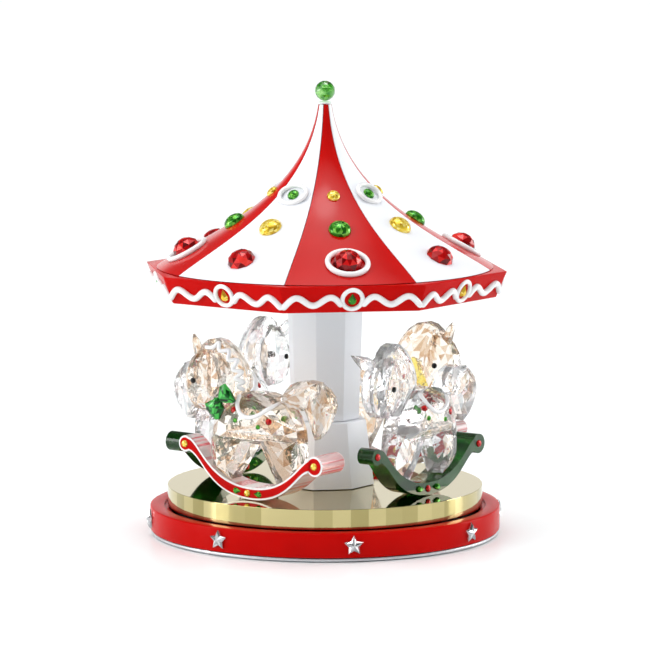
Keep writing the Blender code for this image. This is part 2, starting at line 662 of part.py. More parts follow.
def add_roof(axis):
    rim = [(RIM_TOP_RADIUS, RIM_TOP), (RIM_BOTTOM_RADIUS, RIM_BOTTOM), (RIM_BOTTOM_RADIUS - RIM_WALL, RIM_BOTTOM)]
    rim += [(RIM_TOP_RADIUS - RIM_WALL - 1, RIM_TOP - RIM_LEDGE), (RIM_LEDGE_INNER_RADIUS, RIM_TOP - RIM_LEDGE)]
    rim += [(RIM_LEDGE_INNER_RADIUS, RIM_TOP)]
    piece("roof_rim", octagonal_ring("roof_rim", rim), RED, axis)

    radius = RIM_BOTTOM_RADIUS - RIM_WALL - GAP * 2
    low = RIM_BOTTOM + GAP
    soffit = [(radius, low), (radius, low + SOFFIT_THICKNESS)]
    piece("roof_soffit", octagonal("roof_soffit", soffit), WHITE, axis)

    shape = tent_wedge()
    for index in range(SIDES):
        finish = RED if index % 2 == 0 else WHITE
        mesh = shape.copy()
        mesh.name = f"roof_panel_{index + 1}"
        panel = piece(mesh.name, mesh, finish, axis, smooth=True)
        panel.rotation_euler = (0, 0, FULL_TURN * index / SIDES)

    collar = [(COLLAR_RADIUS - COLLAR_EDGE, COLLAR_BOTTOM), (COLLAR_RADIUS, COLLAR_BOTTOM + COLLAR_EDGE)]
    collar += [(COLLAR_RADIUS, COLLAR_TOP - COLLAR_EDGE), (COLLAR_RADIUS - COLLAR_EDGE, COLLAR_TOP)]
    mesh = turned("finial_collar", collar, SMALL_ROUND_SEGMENTS)
    piece("finial_collar", mesh, WHITE, axis, smooth=True)

    lifts = [math.pi * (band + 0.5) / FINIAL_BANDS - math.pi / 2 for band in range(FINIAL_BANDS)]
    ball = [(FINIAL_RADIUS * math.cos(a), FINIAL_CENTRE + FINIAL_RADIUS * math.sin(a)) for a in lifts]
    piece("finial_ball", turned("finial_ball", ball, SMALL_ROUND_SEGMENTS), GREEN, axis, smooth=True)


# Horses


def rocker_half_width(u):
    """Half the rocker's width, which tapers towards the horse's head."""
    return ROCKER_HALF_WIDTH - ROCKER_TAPER * u


def rocker_mesh():
    """A bowed plate that curls back at each end into a round roll. The front roll is the smaller one."""
    steps = 10
    stations = [(1, step / steps) for step in range(steps + 1)]
    stations += [(-1, 1 - step / steps) for step in range(1, steps + 1)]
    rings = []
    for side, share in stations:
        edges = []
        for points in (ROCKER_LOWER, ROCKER_UPPER):
            inwards, height = curve_point(points, share)
            u = side * (ROLL_HALF_SPAN - inwards)
            edges.append([(u, w, height) for w in (-rocker_half_width(u), rocker_half_width(u))])
        lower, upper = edges
        rings.append(lower + upper[::-1])
    parts = [loft("rocker_plate", rings)]
    for end, radius in zip((ROLL_HALF_SPAN, -ROLL_HALF_SPAN), ROLL_RADII):
        rings = []
        for side in (-1, 1):
            outline = circle(radius, 0, ROLL_SEGMENTS)
            rings.append([(end + a, side * rocker_half_width(end + a), b) for a, b, _ in outline])
        parts.append(loft("rocker_roll", rings))
    return combine("rocker", parts)


def horse_body_mesh():
    """Trunk and legs. The neck's seat slopes from the withers down to the chest."""
    trunk = [(5.8, 29.3, 4.0), (13.0, 23.2, 8.0), (21.6, 18.0, 4.0), (23.4, 10.5, 4.0), (24.2, 4.4, 3.6)]
    trunk += [(20.0, 4.4, 6.5), (11.0, 6.6, 8.0), (0, 8.2, 8.0), (-11.0, 7.4, 8.0), (-22.0, 6.0, 6.5)]
    trunk += [(-26.4, 8.6, 4.6), (-25.4, 14.4, 4.2), (-22.6, 20.6, 4.2), (-18.0, 25.6, 4.4)]
    trunk += [(-12.0, 29.0, 4.6), (-6.3, 30.0, 5.0), (9.0, 14.6, 10.2), (0, 18.5, 10.6), (-10.0, 17.5, 10.6)]
    trunk += [(-18.0, 14.0, 9.4), (-4.0, 25.5, 8.6), (15.5, 13.0, 9.0)]
    front_leg = [(24.2, 4.4, 4.0), (24.2, -2.0, 4.4), (23.4, -7.8, 4.4), (17.8, -11.2, 4.6)]
    front_leg += [(12.2, -13.5, 4.6), (10.6, -7.0, 5.4), (8.2, 3.0, 7.0), (7.0, 9.0, 8.0)]
    front_leg += [(13.0, 12.0, 9.0), (22.0, 11.5, 5.6)]
    rear_leg = [(-26.6, 9.0, 4.4), (-27.0, 3.0, 4.6), (-26.2, -5.6, 4.8), (-20.0, -10.1, 5.4)]
    rear_leg += [(-15.5, -12.5, 5.4), (-14.0, -6.0, 6.2), (-11.0, 2.0, 7.4), (-8.6, 8.4, 8.0)]
    rear_leg += [(-13.0, 13.5, 9.4), (-23.0, 14.0, 6.6)]
    parts = [hull("trunk", trunk), hull("front_leg", front_leg), hull("rear_leg", rear_leg)]
    return combine("horse_body", parts)


def horse_head_mesh(lowered):
    """Neck, mane, head and ear. The lowered sort lays its ear forward."""
    neck = [(7.6, 28.7, 3.0), (5.6, 31.2, 3.0), (5.6, 35.4, 2.6), (7.8, 40.4, 2.4), (11.2, 45.4, 2.4)]
    neck += [(15.4, 49.4, 2.4), (20.6, 52.4, 2.4), (25.6, 52.9, 2.6), (30.0, 51.7, 3.0), (33.6, 48.7, 3.0)]
    neck += [(33.0, 40.0, 6.0), (28.0, 18.4, 4.0), (22.3, 18.0, 4.0)]
    neck += [(12.0, 32.0, 6.5), (20.0, 42.0, 6.5), (24.0, 24.0, 6.6)]
    skull = [(30.0, 49.0, 3.0), (34.5, 46.0, 3.2), (38.6, 42.0, 3.2), (41.4, 37.0, 3.0), (42.2, 31.5, 3.0)]
    skull += [(41.6, 25.6, 3.2), (39.6, 21.2, 3.2), (36.2, 18.4, 3.4), (30.0, 17.6, 4.4), (25.0, 21.0, 5.0)]
    skull += [(24.0, 34.0, 7.6), (30.0, 40.0, 7.8), (34.0, 31.0, 7.8), (31.0, 23.5, 7.0)]
    if lowered:
        ear = [(39.0, 45.4, 1.8), (41.4, 40.6, 1.8), (38.0, 41.0, 2.2), (45.0, 47.6, 1.4)]
        ear += [(49.0, 42.8, 1.4), (56.4, 49.0, 0.4)]
    else:
        ear = [(34.4, 45.6, 1.8), (38.2, 41.4, 1.8), (36.0, 42.0, 2.2), (37.2, 50.0, 1.2)]
        ear += [(40.4, 49.4, 1.0), (40.2, 53.0, 0.4)]
    parts = [hull("neck", neck), hull("skull", skull), hull("ear", ear)]
    return combine("horse_head", parts)


def horse_tail_mesh():
    """A thick tail that arches up from the rump and curls down to a point."""
    arch = [(-14.8, 28.3, 3.4), (-17.5, 32.4, 3.6), (-20.4, 35.8, 3.6), (-24.6, 37.9, 3.6), (-29.0, 38.6, 3.6)]
    arch += [(-35.2, 38.2, 3.6), (-34.0, 25.0, 3.6), (-26.0, 24.4, 3.6), (-20.0, 24.9, 3.4)]
    arch += [(-27.0, 31.0, 6.8), (-34.0, 32.0, 6.8)]
    curl = [(-31.0, 38.5, 3.6), (-35.4, 38.2, 3.6), (-40.0, 35.8, 3.6), (-43.4, 32.4, 3.6), (-44.4, 28.6, 3.6)]
    curl += [(-43.6, 25.0, 3.6), (-41.8, 20.6, 3.0), (-38.6, 14.6, 1.6), (-35.4, 11.2, 0.6), (-33.6, 15.0, 2.0)]
    curl += [(-31.2, 20.5, 3.4), (-29.0, 27.0, 4.0), (-36.0, 31.0, 6.8), (-38.0, 24.0, 5.6)]
    return combine("horse_tail", [hull("tail_arch", arch), hull("tail_curl", curl)])


def bow_mesh():
    """Two wings and a knot, worn on the outer side of the neck."""
    upper_wing = ((16.6, 24.0), (15.2, 31.6), (12.8, 33.2), (6.4, 26.0), (7.0, 25.0))
    lower_wing = ((16.4, 25.8), (23.8, 22.4), (22.6, 19.6), (17.0, 15.5), (15.4, 16.0), (12.8, 21.4))
    parts = []
    for wing in (upper_wing, lower_wing):
        rings = [[(u, w, v) for u, v in wing] for w in (BOW_NEAR, BOW_FAR)]
        parts.append(loft("wing", rings))
    knot = [(a, b) for a, b, _ in circle(BOW_KNOT_RADIUS, 0, SIDES, BOW_KNOT_CENTRE)]
    rings = [[(u, w, v) for u, v in knot] for w in (BOW_NEAR, BOW_FAR + BOW_KNOT_RISE)]
    parts.append(loft("knot", rings))
    return combine("bow", parts)


def horse_matrix(angle):
    """From a horse's own u, w, v frame to the turntable: it heads clockwise seen from above."""
    turn = math.radians(angle)
    forward = Vector((-math.cos(turn), -math.sin(turn), 0))
    outward = Vector((math.sin(turn), -math.cos(turn), 0))
    frame = Matrix((forward, outward, Vector((0, 0, 1)))).transposed().to_4x4()
    centre = outward * HORSE_RADIUS + Vector((0, 0, HORSE_HEIGHT))
    return Matrix.Translation(centre * MM) @ frame @ Matrix.Rotation(-HORSE_PITCH, 4, "Y")


def add_horses(axis):
    body = horse_body_mesh()
    tail = horse_tail_mesh()
    bow = bow_mesh()
    heads = [horse_head_mesh(lowered) for lowered in (False, True)]
    rocker = rocker_mesh()
    crystals = (CHAMPAGNE, CLEAR)
    rocker_finishes = (RED_ROCKER, GREEN_ROCKER)
    bow_finishes = {0: GREEN, 2: YELLOW}
    for index, angle in enumerate(HORSE_ANGLES):
        style = index % 2
        name = f"horse_{index + 1}"
        pieces = [("body", body, crystals[style]), ("head", heads[style], crystals[style])]
        pieces += [("tail", tail, crystals[style]), ("rocker", rocker, rocker_finishes[style])]
        if index in bow_finishes:
            pieces.append(("bow", bow, bow_finishes[index]))
        for label, shape, finish in pieces:
            mesh = shape.copy()
            mesh.name = f"{name}_{label}"
            made = piece(mesh.name, mesh, finish, axis)
            made.matrix_local = horse_matrix(angle)


def main():
    for obj in list(bpy.data.objects):
        bpy.data.objects.remove(obj, do_unlink=True)
    add_base()
    add_stars()
    add_movement()
    turntable_axis = axis_empty("turntable_axis")
    add_turntable(turntable_axis)
    add_roof(turntable_axis)
    add_horses(turntable_axis)


main()
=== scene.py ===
"""The looks of the carousel music box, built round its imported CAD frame.

Meshes are drawn in millimetres and scaled by MM. Materials, lights and the camera are in metres.
"""

import json
import math
import random

import bmesh
import bpy
from mathutils import Matrix, Vector
from mathutils.bvhtree import BVHTree


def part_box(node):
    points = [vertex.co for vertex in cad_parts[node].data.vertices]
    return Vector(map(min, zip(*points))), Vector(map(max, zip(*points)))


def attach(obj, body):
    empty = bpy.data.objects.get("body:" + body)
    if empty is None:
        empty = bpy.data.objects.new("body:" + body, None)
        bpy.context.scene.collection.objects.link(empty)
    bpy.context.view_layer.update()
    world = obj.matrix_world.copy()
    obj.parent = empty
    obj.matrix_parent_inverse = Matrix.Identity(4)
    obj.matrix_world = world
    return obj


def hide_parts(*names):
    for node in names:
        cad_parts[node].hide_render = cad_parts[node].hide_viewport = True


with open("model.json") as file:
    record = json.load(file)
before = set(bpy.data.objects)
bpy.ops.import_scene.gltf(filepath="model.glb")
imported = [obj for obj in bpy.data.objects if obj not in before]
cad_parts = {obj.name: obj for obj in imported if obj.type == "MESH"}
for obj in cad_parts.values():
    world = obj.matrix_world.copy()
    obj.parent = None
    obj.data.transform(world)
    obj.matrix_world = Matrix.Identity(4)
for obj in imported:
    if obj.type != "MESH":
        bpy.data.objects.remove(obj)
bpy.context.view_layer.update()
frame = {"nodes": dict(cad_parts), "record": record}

MM = 0.001
FULL_TURN = 2 * math.pi
SIDES = 8

# Camera: where it looks from and to, in radians and metres, and its lens in millimetres
CAMERA_AZIMUTH = math.radians(-9.1)
CAMERA_ELEVATION = math.radians(7.37)
CAMERA_TARGET = Vector((0, 0, 0.1016))
CAMERA_DISTANCE = 1.965
CAMERA_LENS = 223.5

# The studio's ceiling panel, at its brightest
PANEL_LEVEL = 8.0

# Shapes that the frame's solids share
TENT_POINTS = ((81.8, 130.7), (56.7, 146.3), (10.1, 163.4), (3.2, 209.3))
TENT_WALL = 1.4
SEAM = 0.3
RIM_TOP = (90.1, 130.4)
RIM_BOTTOM = (84.7, 117.6)
HORSE_ANGLES = (-45, 45, 135, -135)
HORSE_RADIUS = 55.0
HORSE_LIFT = 21.8
HORSE_PITCH = math.radians(2.3)
ROLL_HALF_SPAN = 40.0
ROLL_RADII = (3.9, 4.8)
ROCKER_DROP = 21.4
ROCKER_TOP_DROP = 15.6
ROCKER_LOWER = ((2.0, -3.0), (11.0, -4.0), (14.0, -ROCKER_DROP), (ROLL_HALF_SPAN, -ROCKER_DROP))
ROCKER_UPPER = ((1.5, 3.5), (9.0, 3.0), (14.0, -ROCKER_TOP_DROP), (ROLL_HALF_SPAN, -ROCKER_TOP_DROP))
ROCKER_HALF_WIDTH = 6.6
ROCKER_TAPER = 0.05

# From the tent's axis to the middle of each row of stones
UPPER_ROW = 25.8
MIDDLE_ROW = 44.2
LOWER_ROW = 67.2

# The finishes that go with each of the record's slots. Its CAD nodes wear the first one.
SLOT_FINISHES = {
    "red_lacquer": ("red", "base_red", "ruby"),
    "white_enamel": ("white", "icing"),
    "gold_plate": ("gold",),
    "silver_trim": ("silver",),
    "spring_steel": ("steel",),
    "movement_brass": ("brass",),
    "foot_rubber": ("rubber",),
    "plate_plastic": ("plate", "eye"),
    "star_crystal": ("star",),
    "clear_crystal": ("clear",),
    "champagne_crystal": ("champagne",),
    "green_crystal": ("green_ball", "emerald", "bow"),
    "yellow_crystal": ("lemon", "citrine"),
    "rocker_red": ("rocker_clear",),
    "rocker_green": ("green_glass",),
}


# Materials


def colour_ramp(tree, source, stops):
    """A colour ramp over (position, colour) stops."""
    node = tree.nodes.new("ShaderNodeValToRGB")
    elements = node.color_ramp.elements
    while len(elements) < len(stops):
        elements.new(0.5)
    for element, (position, colour) in zip(elements, stops):
        element.position = position
        element.color = (*colour, 1.0)
    tree.links.new(source, node.inputs["Fac"])
    return node.outputs["Color"]


class Finish:
    """A material with one Principled shader and short ways to add nodes to it."""

    def __init__(self, name, colour, roughness, metallic=0.0, **sockets):
        self.material = bpy.data.materials.new(name)
        self.material.use_nodes = True
        self.nodes = self.material.node_tree.nodes
        self.links = self.material.node_tree.links
        self.shader = self.nodes["Principled BSDF"]
        self.shader.inputs["Base Color"].default_value = (*colour, 1.0)
        self.shader.inputs["Roughness"].default_value = roughness
        self.shader.inputs["Metallic"].default_value = metallic
        for socket, value in sockets.items():
            self.shader.inputs[socket.replace("_", " ")].default_value = value
        self.place = self.nodes.new("ShaderNodeTexCoord").outputs["Object"]

    def noise(self, size, detail=2.0, stretch=(1, 1, 1)):
        """Noise with features of about this size in metres."""
        mapping = self.nodes.new("ShaderNodeMapping")
        mapping.inputs["Scale"].default_value = stretch
        self.links.new(self.place, mapping.inputs["Vector"])
        texture = self.nodes.new("ShaderNodeTexNoise")
        texture.inputs["Scale"].default_value = 1 / size
        texture.inputs["Detail"].default_value = detail
        self.links.new(mapping.outputs["Vector"], texture.inputs["Vector"])
        return texture.outputs["Fac"]

    def ramp(self, source, stops):
        return colour_ramp(self.material.node_tree, source, stops)

    def spread(self, source, low, high):
        """The source's middle range stretched from low to high."""
        node = self.nodes.new("ShaderNodeMapRange")
        node.inputs["From Min"].default_value = 0.3
        node.inputs["From Max"].default_value = 0.7
        node.inputs["To Min"].default_value = low
        node.inputs["To Max"].default_value = high
        self.links.new(source, node.inputs["Value"])
        return node.outputs["Result"]

    def drive(self, socket, source):
        self.links.new(source, self.shader.inputs[socket])
        return self

    def cells(self, size):
        """Small cones side by side, each about this size in metres."""
        texture = self.nodes.new("ShaderNodeTexVoronoi")
        texture.inputs["Scale"].default_value = 1 / size
        self.links.new(self.place, texture.inputs["Vector"])
        return texture.outputs["Distance"]

    def bump(self, source, height, strength=1.0, where=None):
        """Adds relief of this height in metres, on top of any before it, everywhere or by a mask."""
        node = self.nodes.new("ShaderNodeBump")
        node.inputs["Distance"].default_value = height
        node.inputs["Strength"].default_value = strength
        if where:
            self.links.new(where, node.inputs["Strength"])
        self.links.new(source, node.inputs["Height"])
        normal = self.shader.inputs["Normal"]
        if normal.is_linked:
            self.links.new(normal.links[0].from_socket, node.inputs["Normal"])
        self.links.new(node.outputs["Normal"], normal)
        return self

    def facet_tone(self):
        """The random value that each flat facet carries."""
        node = self.nodes.new("ShaderNodeAttribute")
        node.attribute_name = "facet"
        return node.outputs["Fac"]

    def pass_lamps(self, tint):
        """Lets lamp rays through, as clear crystal does, so that it casts only a light shadow."""
        path = self.nodes.new("ShaderNodeLightPath")
        clear = self.nodes.new("ShaderNodeBsdfTransparent")
        clear.inputs["Color"].default_value = (*tint, 1.0)
        mix = self.nodes.new("ShaderNodeMixShader")
        output = self.nodes["Material Output"]
        self.links.new(path.outputs["Is Shadow Ray"], mix.inputs["Fac"])
        self.links.new(self.shader.outputs["BSDF"], mix.inputs[1])
        self.links.new(clear.outputs["BSDF"], mix.inputs[2])
        self.links.new(mix.outputs["Shader"], output.inputs["Surface"])
        return self


def lacquer(name, colour, deep, roughness, specular, peel=0.000006):
    """Sprayed gloss lacquer: a faint orange peel, slow shade changes and slightly uneven gloss."""
    made = Finish(name, colour, roughness, Specular_IOR_Level=specular)
    made.drive("Base Color", made.ramp(made.noise(0.03), ((0.3, deep), (0.7, colour))))
    made.drive("Roughness", made.spread(made.noise(0.004, 3), roughness * 0.92, roughness * 1.1))
    if peel:
        made.bump(made.noise(0.0016, 1), peel, 0.4)
    return made


def polished_metal(name, colour, roughness, along=(1, 1, 1)):
    """Polished plating with faint buffing marks."""
    made = Finish(name, colour, roughness, 1.0)
    dull = tuple(channel * 0.93 for channel in colour)
    made.drive("Base Color", made.ramp(made.noise(0.02), ((0.35, dull), (0.65, colour))))
    made.drive("Roughness", made.spread(made.noise(0.002, 4, along), roughness * 0.6, roughness * 1.6))
    return made.bump(made.noise(0.0012, 3, along), 0.000004, 0.4)


def crystal(name, tones, tint, ior=1.38, cells=0.0028, clearness=0.93):
    """Cut crystal: its own tint, with a painted sparkle and painted reflection in a random tone on each
    facet, and rows of tiny facets cut into some of them.
    """
    coat = {"Coat_Weight": 0.4, "Coat_Roughness": 0.02}
    made = Finish(name, tones[0][1], 0.0, IOR=ior, Transmission_Weight=clearness, **coat)
    made.drive("Base Color", made.ramp(made.facet_tone(), tones))
    finely_cut = made.ramp(made.facet_tone(), ((0.5, (0.0, 0.0, 0.0)), (0.75, (1.0, 1.0, 1.0))))
    made.bump(made.cells(cells), 0.09 * cells, 1.0, finely_cut)
    return made.pass_lamps(tint)


def foiled_stone(name, tones, metallic=0.4):
    """A coloured stone on foil, with painted sparkle: each facet is painted darker or brighter for the
    share of light it sends back.
    """
    coat = {"Coat_Weight": 0.15, "Coat_Roughness": 0.02}
    made = Finish(name, tones[0][1], 0.12, metallic, Specular_IOR_Level=0.3, **coat)
    made.drive("Base Color", made.ramp(made.facet_tone(), tones))
    return made.bump(made.noise(0.0008, 2), 0.00001, 0.3)


def make_finishes():
    made = {}
    made["red"] = lacquer("red lacquer", (0.50, 0.003, 0.002), (0.44, 0.002, 0.001), 0.16, 0.22)
    made["base_red"] = lacquer("base lacquer", (0.52, 0.002, 0.001), (0.44, 0.001, 0.0005), 0.22, 0.05)
    made["white"] = lacquer("white enamel", (0.80, 0.82, 0.86), (0.79, 0.81, 0.85), 0.3, 0.3, 0)
    icing = Finish("white icing", (0.83, 0.83, 0.84), 0.22, Coat_Weight=0.5, Coat_Roughness=0.1)
    creams = ((0.3, (0.76, 0.76, 0.78)), (0.7, (0.85, 0.85, 0.85)))
    icing.drive("Base Color", icing.ramp(icing.noise(0.008), creams))
    made["icing"] = icing.bump(icing.noise(0.0025, 2), 0.00012, 0.5)
    pale_gold = (0.56, 0.475, 0.23)
    gold = polished_metal("pale gold plating", pale_gold, 0.05)
    # Painted reflection: faces with a higher facet value are painted a darker gold, for the dark parts of
    # the studio reflected in the flats of the disc's side.
    tones = gold.ramp(gold.facet_tone(), ((0.0, pale_gold), (1.0, (0.37, 0.31, 0.13))))
    made["gold"] = gold.drive("Base Color", tones)
    made["silver"] = polished_metal("satin trim", (0.72, 0.74, 0.77), 0.42)
    made["steel"] = polished_metal("nickelled steel", (0.6, 0.6, 0.62), 0.28, (1, 12, 12))
    made["brass"] = polished_metal("movement brass", (0.75, 0.57, 0.27), 0.26, (12, 1, 12))
    rubber = Finish("foot rubber", (0.03, 0.03, 0.03), 0.75)
    rubber.drive("Roughness", rubber.spread(rubber.noise(0.003), 0.65, 0.9))
    made["rubber"] = rubber.bump(rubber.noise(0.0006, 3), 0.00005)
    plate = Finish("plate plastic", (0.045, 0.045, 0.048), 0.5)
    plate.drive("Roughness", plate.spread(plate.noise(0.006), 0.42, 0.6))
    made["plate"] = plate.bump(plate.noise(0.0008, 2), 0.00004)
    # Clear crystal, with painted sparkle: some facets are painted peach or pink for coloured flashes, and
    # grey for dark reflections.
    clear = ((0.0, (1.0, 1.0, 1.0)), (0.6, (0.97, 0.98, 1.0)), (0.78, (1.0, 0.91, 0.84)))
    clear += ((0.87, (0.46, 0.52, 0.54)), (0.97, (0.98, 0.80, 0.82)))
    made["clear"] = crystal("clear crystal", clear, (0.95, 0.96, 0.98))
    # Champagne tint, with painted sparkle: some facets are painted a deeper peach or brown for dark
    # reflections.
    peach_and_painted_sparkle = ((0.0, (1.0, 0.96, 0.91)), (0.45, (1.0, 0.92, 0.84)), (0.65, (0.99, 0.96, 0.92)))
    peach_and_painted_sparkle += ((0.80, (0.88, 0.66, 0.46)), (0.93, (0.50, 0.25, 0.11)))
    made["champagne"] = crystal("champagne crystal", peach_and_painted_sparkle, (0.97, 0.92, 0.86))
    # Painted reflection: a share of the rocker crystal's facets are painted red, for its red face
    # reflected inside it.
    painted_red_reflections = ((0.0, (1.0, 0.98, 0.97)), (0.6, (1.0, 0.94, 0.93)), (0.9, (0.95, 0.25, 0.27)))
    reflection_streaked_rocker = crystal("rocker crystal", painted_red_reflections, (1, 0.9, 0.88), ior=1.2, cells=0.0016, clearness=0.55)
    made["rocker_clear"] = reflection_streaked_rocker
    optics = {"IOR": 1.5, "Transmission_Weight": 0.7, "Specular_IOR_Level": 0.08}
    glass = Finish("dark green glass", (0.0, 0.06, 0.01), 0.03, **optics)
    greens = ((0.3, (0.0, 0.05, 0.003)), (0.7, (0.012, 0.14, 0.008)))
    glass.drive("Base Color", glass.ramp(glass.noise(0.01), greens))
    made["green_glass"] = glass.bump(glass.noise(0.004, 1), 0.00002, 0.3)
    # Painted sparkle: the facets of the bow and of the stones below run from dark to bright over each
    # stone's own colour.
    bow = ((0.0, (0.0, 0.02, 0.002)), (0.5, (0.0, 0.10, 0.01)), (0.85, (0.05, 0.42, 0.06)))
    made["bow"] = foiled_stone("bow glass", bow, 0.2)
    emerald = ((0.0, (0.003, 0.07, 0.002)), (0.5, (0.03, 0.25, 0.012)), (0.9, (0.20, 0.58, 0.07)))
    made["emerald"] = foiled_stone("green stone", emerald)
    ruby = ((0.0, (0.10, 0.0, 0.001)), (0.5, (0.40, 0.001, 0.002)))
    ruby += ((0.8, (0.62, 0.004, 0.004)), (0.97, (0.85, 0.04, 0.03)))
    made["ruby"] = foiled_stone("red stone", ruby, 0.2)
    citrine = ((0.0, (0.45, 0.24, 0.01)), (0.5, (0.85, 0.60, 0.04)), (0.9, (1.0, 0.85, 0.25)))
    made["citrine"] = foiled_stone("yellow stone", citrine)
    star = ((0.0, (0.35, 0.36, 0.38)), (0.5, (0.75, 0.76, 0.78)), (0.9, (1.0, 1.0, 1.0)))
    made["star"] = foiled_stone("star stone", star, 0.9)
    # The green ball's and the yellow crystal's tints, with their facets painted lighter and darker as a
    # painted sparkle.
    green_ball = ((0.0, (0.0, 0.12, 0.0)), (0.5, (0.06, 0.36, 0.02)), (0.85, (0.4, 0.8, 0.25)))
    made["green_ball"] = crystal("green crystal", green_ball, (0.3, 0.8, 0.3), 1.5)
    lemon = ((0.0, (1.0, 0.75, 0.02)), (0.7, (1.0, 0.88, 0.20)))
    made["lemon"] = crystal("yellow crystal", lemon, (1.0, 0.9, 0.4))
    eye = Finish("black eye", (0.004, 0.004, 0.004), 0.1, Specular_IOR_Level=0.3)
    eye.drive("Roughness", eye.spread(eye.noise(0.001), 0.05, 0.14))
    made["eye"] = eye
    return {name: finish.material for name, finish in made.items()}


FINISHES = make_finishes()


# Meshes and pieces


def finished_mesh(name, bm, smooth=None):
    """A mesh in metres from a bmesh in millimetres.

    Smooth is the sharpest angle, in degrees, that is shaded round.
    """
    bmesh.ops.recalc_face_normals(bm, faces=bm.faces)
    bmesh.ops.scale(bm, vec=(MM, MM, MM), verts=bm.verts)
    mesh = bpy.data.meshes.new(name)
    bm.to_mesh(mesh)
    bm.free()
    if smooth is not None:
        mesh.shade_smooth()
        mesh.set_sharp_from_angle(angle=math.radians(smooth))
    return mesh


def loft(rings, closed=False):
    """A bmesh skinned over rings of equally many points, capped at both ends or closed on itself."""
    bm = bmesh.new()
    rows = [[bm.verts.new(point) for point in ring] for ring in rings]
    pairs = list(zip(rows, rows[1:]))
    if closed:
        pairs.append((rows[-1], rows[0]))
    else:
        bm.faces.new(rows[0])
        bm.faces.new(rows[-1])
    for first, second in pairs:
        for index in range(len(first)):
            after = (index + 1) % len(first)
            bm.faces.new((first[index], first[after], second[after], second[index]))
    return bm


def curve_point(points, share):
    """The point this share of the way along a cubic curve with four control points."""
    back = 1 - share
    weights = (back**3, 3 * back**2 * share, 3 * back * share**2, share**3)
    return Vector([sum(w * p[i] for w, p in zip(weights, points)) for i in range(2)])


def polar(radius, angle, z):
    return (radius * math.cos(angle), radius * math.sin(angle), z)


def turned(profile, segments, closed=False):
    """A turned bmesh: a chain of (radius, z) with flat ends, or a closed loop round an open middle."""
    angles = [FULL_TURN * step / segments for step in range(segments)]
    if closed:
        return loft([[polar(r, a, z) for r, z in profile] for a in angles], closed=True)
    return loft([[polar(r, a, z) for a in angles] for r, z in profile])


def octagonal(profile, closed=False):
    """The same with eight flat sides, one of which faces the front."""
    angles = [FULL_TURN * (corner + 0.5) / SIDES for corner in range(SIDES)]
    if closed:
        return loft([[polar(r, a, z) for r, z in profile] for a in angles], closed=True)
    return loft([[polar(r, a, z) for a in angles] for r, z in profile])


def bevelled(bm, width, segments=2, angle=25):
    """Rounds every edge sharper than this angle, by this width in millimetres."""
    bmesh.ops.recalc_face_normals(bm, faces=bm.faces)
    edges = [edge for edge in bm.edges if edge.calc_face_angle(0) > math.radians(angle)]
    shape = {"offset": width, "segments": segments, "profile": 0.5}
    bmesh.ops.bevel(bm, geom=edges, affect="EDGES", clamp_overlap=True, **shape)
    return bm


def show(name, mesh, finish, body="turntable", matrix=None, replaces=()):
    """One piece of the visual model, riding on its body."""
    obj = bpy.data.objects.new(name, mesh)
    bpy.context.scene.collection.objects.link(obj)
    mesh.materials.append(FINISHES[finish])
    if matrix is not None:
        obj.matrix_world = matrix
    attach(obj, body)
    if replaces:
        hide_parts(*replaces)
    return obj


def combined(meshes):
    """One mesh from several by an exact Boolean union."""
    helpers = []
    for index, mesh in enumerate(meshes):
        helper = bpy.data.objects.new(f"helper_{index}", mesh)
        bpy.context.scene.collection.objects.link(helper)
        helpers.append(helper)
    for helper in helpers[1:]:
        boolean = helpers[0].modifiers.new(helper.name, "BOOLEAN")
        boolean.operation = "UNION"
        boolean.solver = "EXACT"
        boolean.object = helper
    bpy.context.view_layer.update()
    graph = bpy.context.evaluated_depsgraph_get()
    result = bpy.data.meshes.new_from_object(helpers[0].evaluated_get(graph))
    for helper in helpers:
        bpy.data.objects.remove(helper)
    return result


def joined(name, placed):
    """One mesh from (mesh, matrix) pairs, with no Boolean."""
    bm = bmesh.new()
    for mesh, matrix in placed:
        start = len(bm.verts)
        bm.from_mesh(mesh)
        bm.verts.ensure_lookup_table()
        bmesh.ops.transform(bm, matrix=matrix, verts=bm.verts[start:])
    result = bpy.data.meshes.new(name)
    bm.to_mesh(result)
    bm.free()
    return result


def tone_facets(mesh, seed):
    """Merges the flat parts of a cut solid into facets and gives each a random tone."""
    bm = bmesh.new()
    bm.from_mesh(mesh)
    bmesh.ops.dissolve_limit(bm, angle_limit=math.radians(1.0), verts=bm.verts, edges=bm.edges)
    bm.to_mesh(mesh)
    bm.free()
    return tone_faces(mesh, seed)


def tone_faces(mesh, seed):
    """Gives each face a random tone."""
    tones = random.Random(seed)
    layer = mesh.attributes.new("facet", "FLOAT", "FACE")
    for value in layer.data:
        value.value = tones.random()
    return mesh


def round_ends(line, radius):
    """(point, share of the radius) along an open line, with a round cap at each end."""
    points = [Vector(point) for point in line]
    first = (points[0] - points[1]).normalized()
    last = (points[-1] - points[-2]).normalized()
    caps = [(reach, math.sqrt(1 - reach**2)) for reach in (0.25, 0.5, 0.7, 0.85, 0.95, 0.995)]
    start = [(points[0] + first * radius * reach, share) for reach, share in reversed(caps)]
    end = [(points[-1] + last * radius * reach, share) for reach, share in caps]
    return start + [(point, 1.0) for point in points] + end


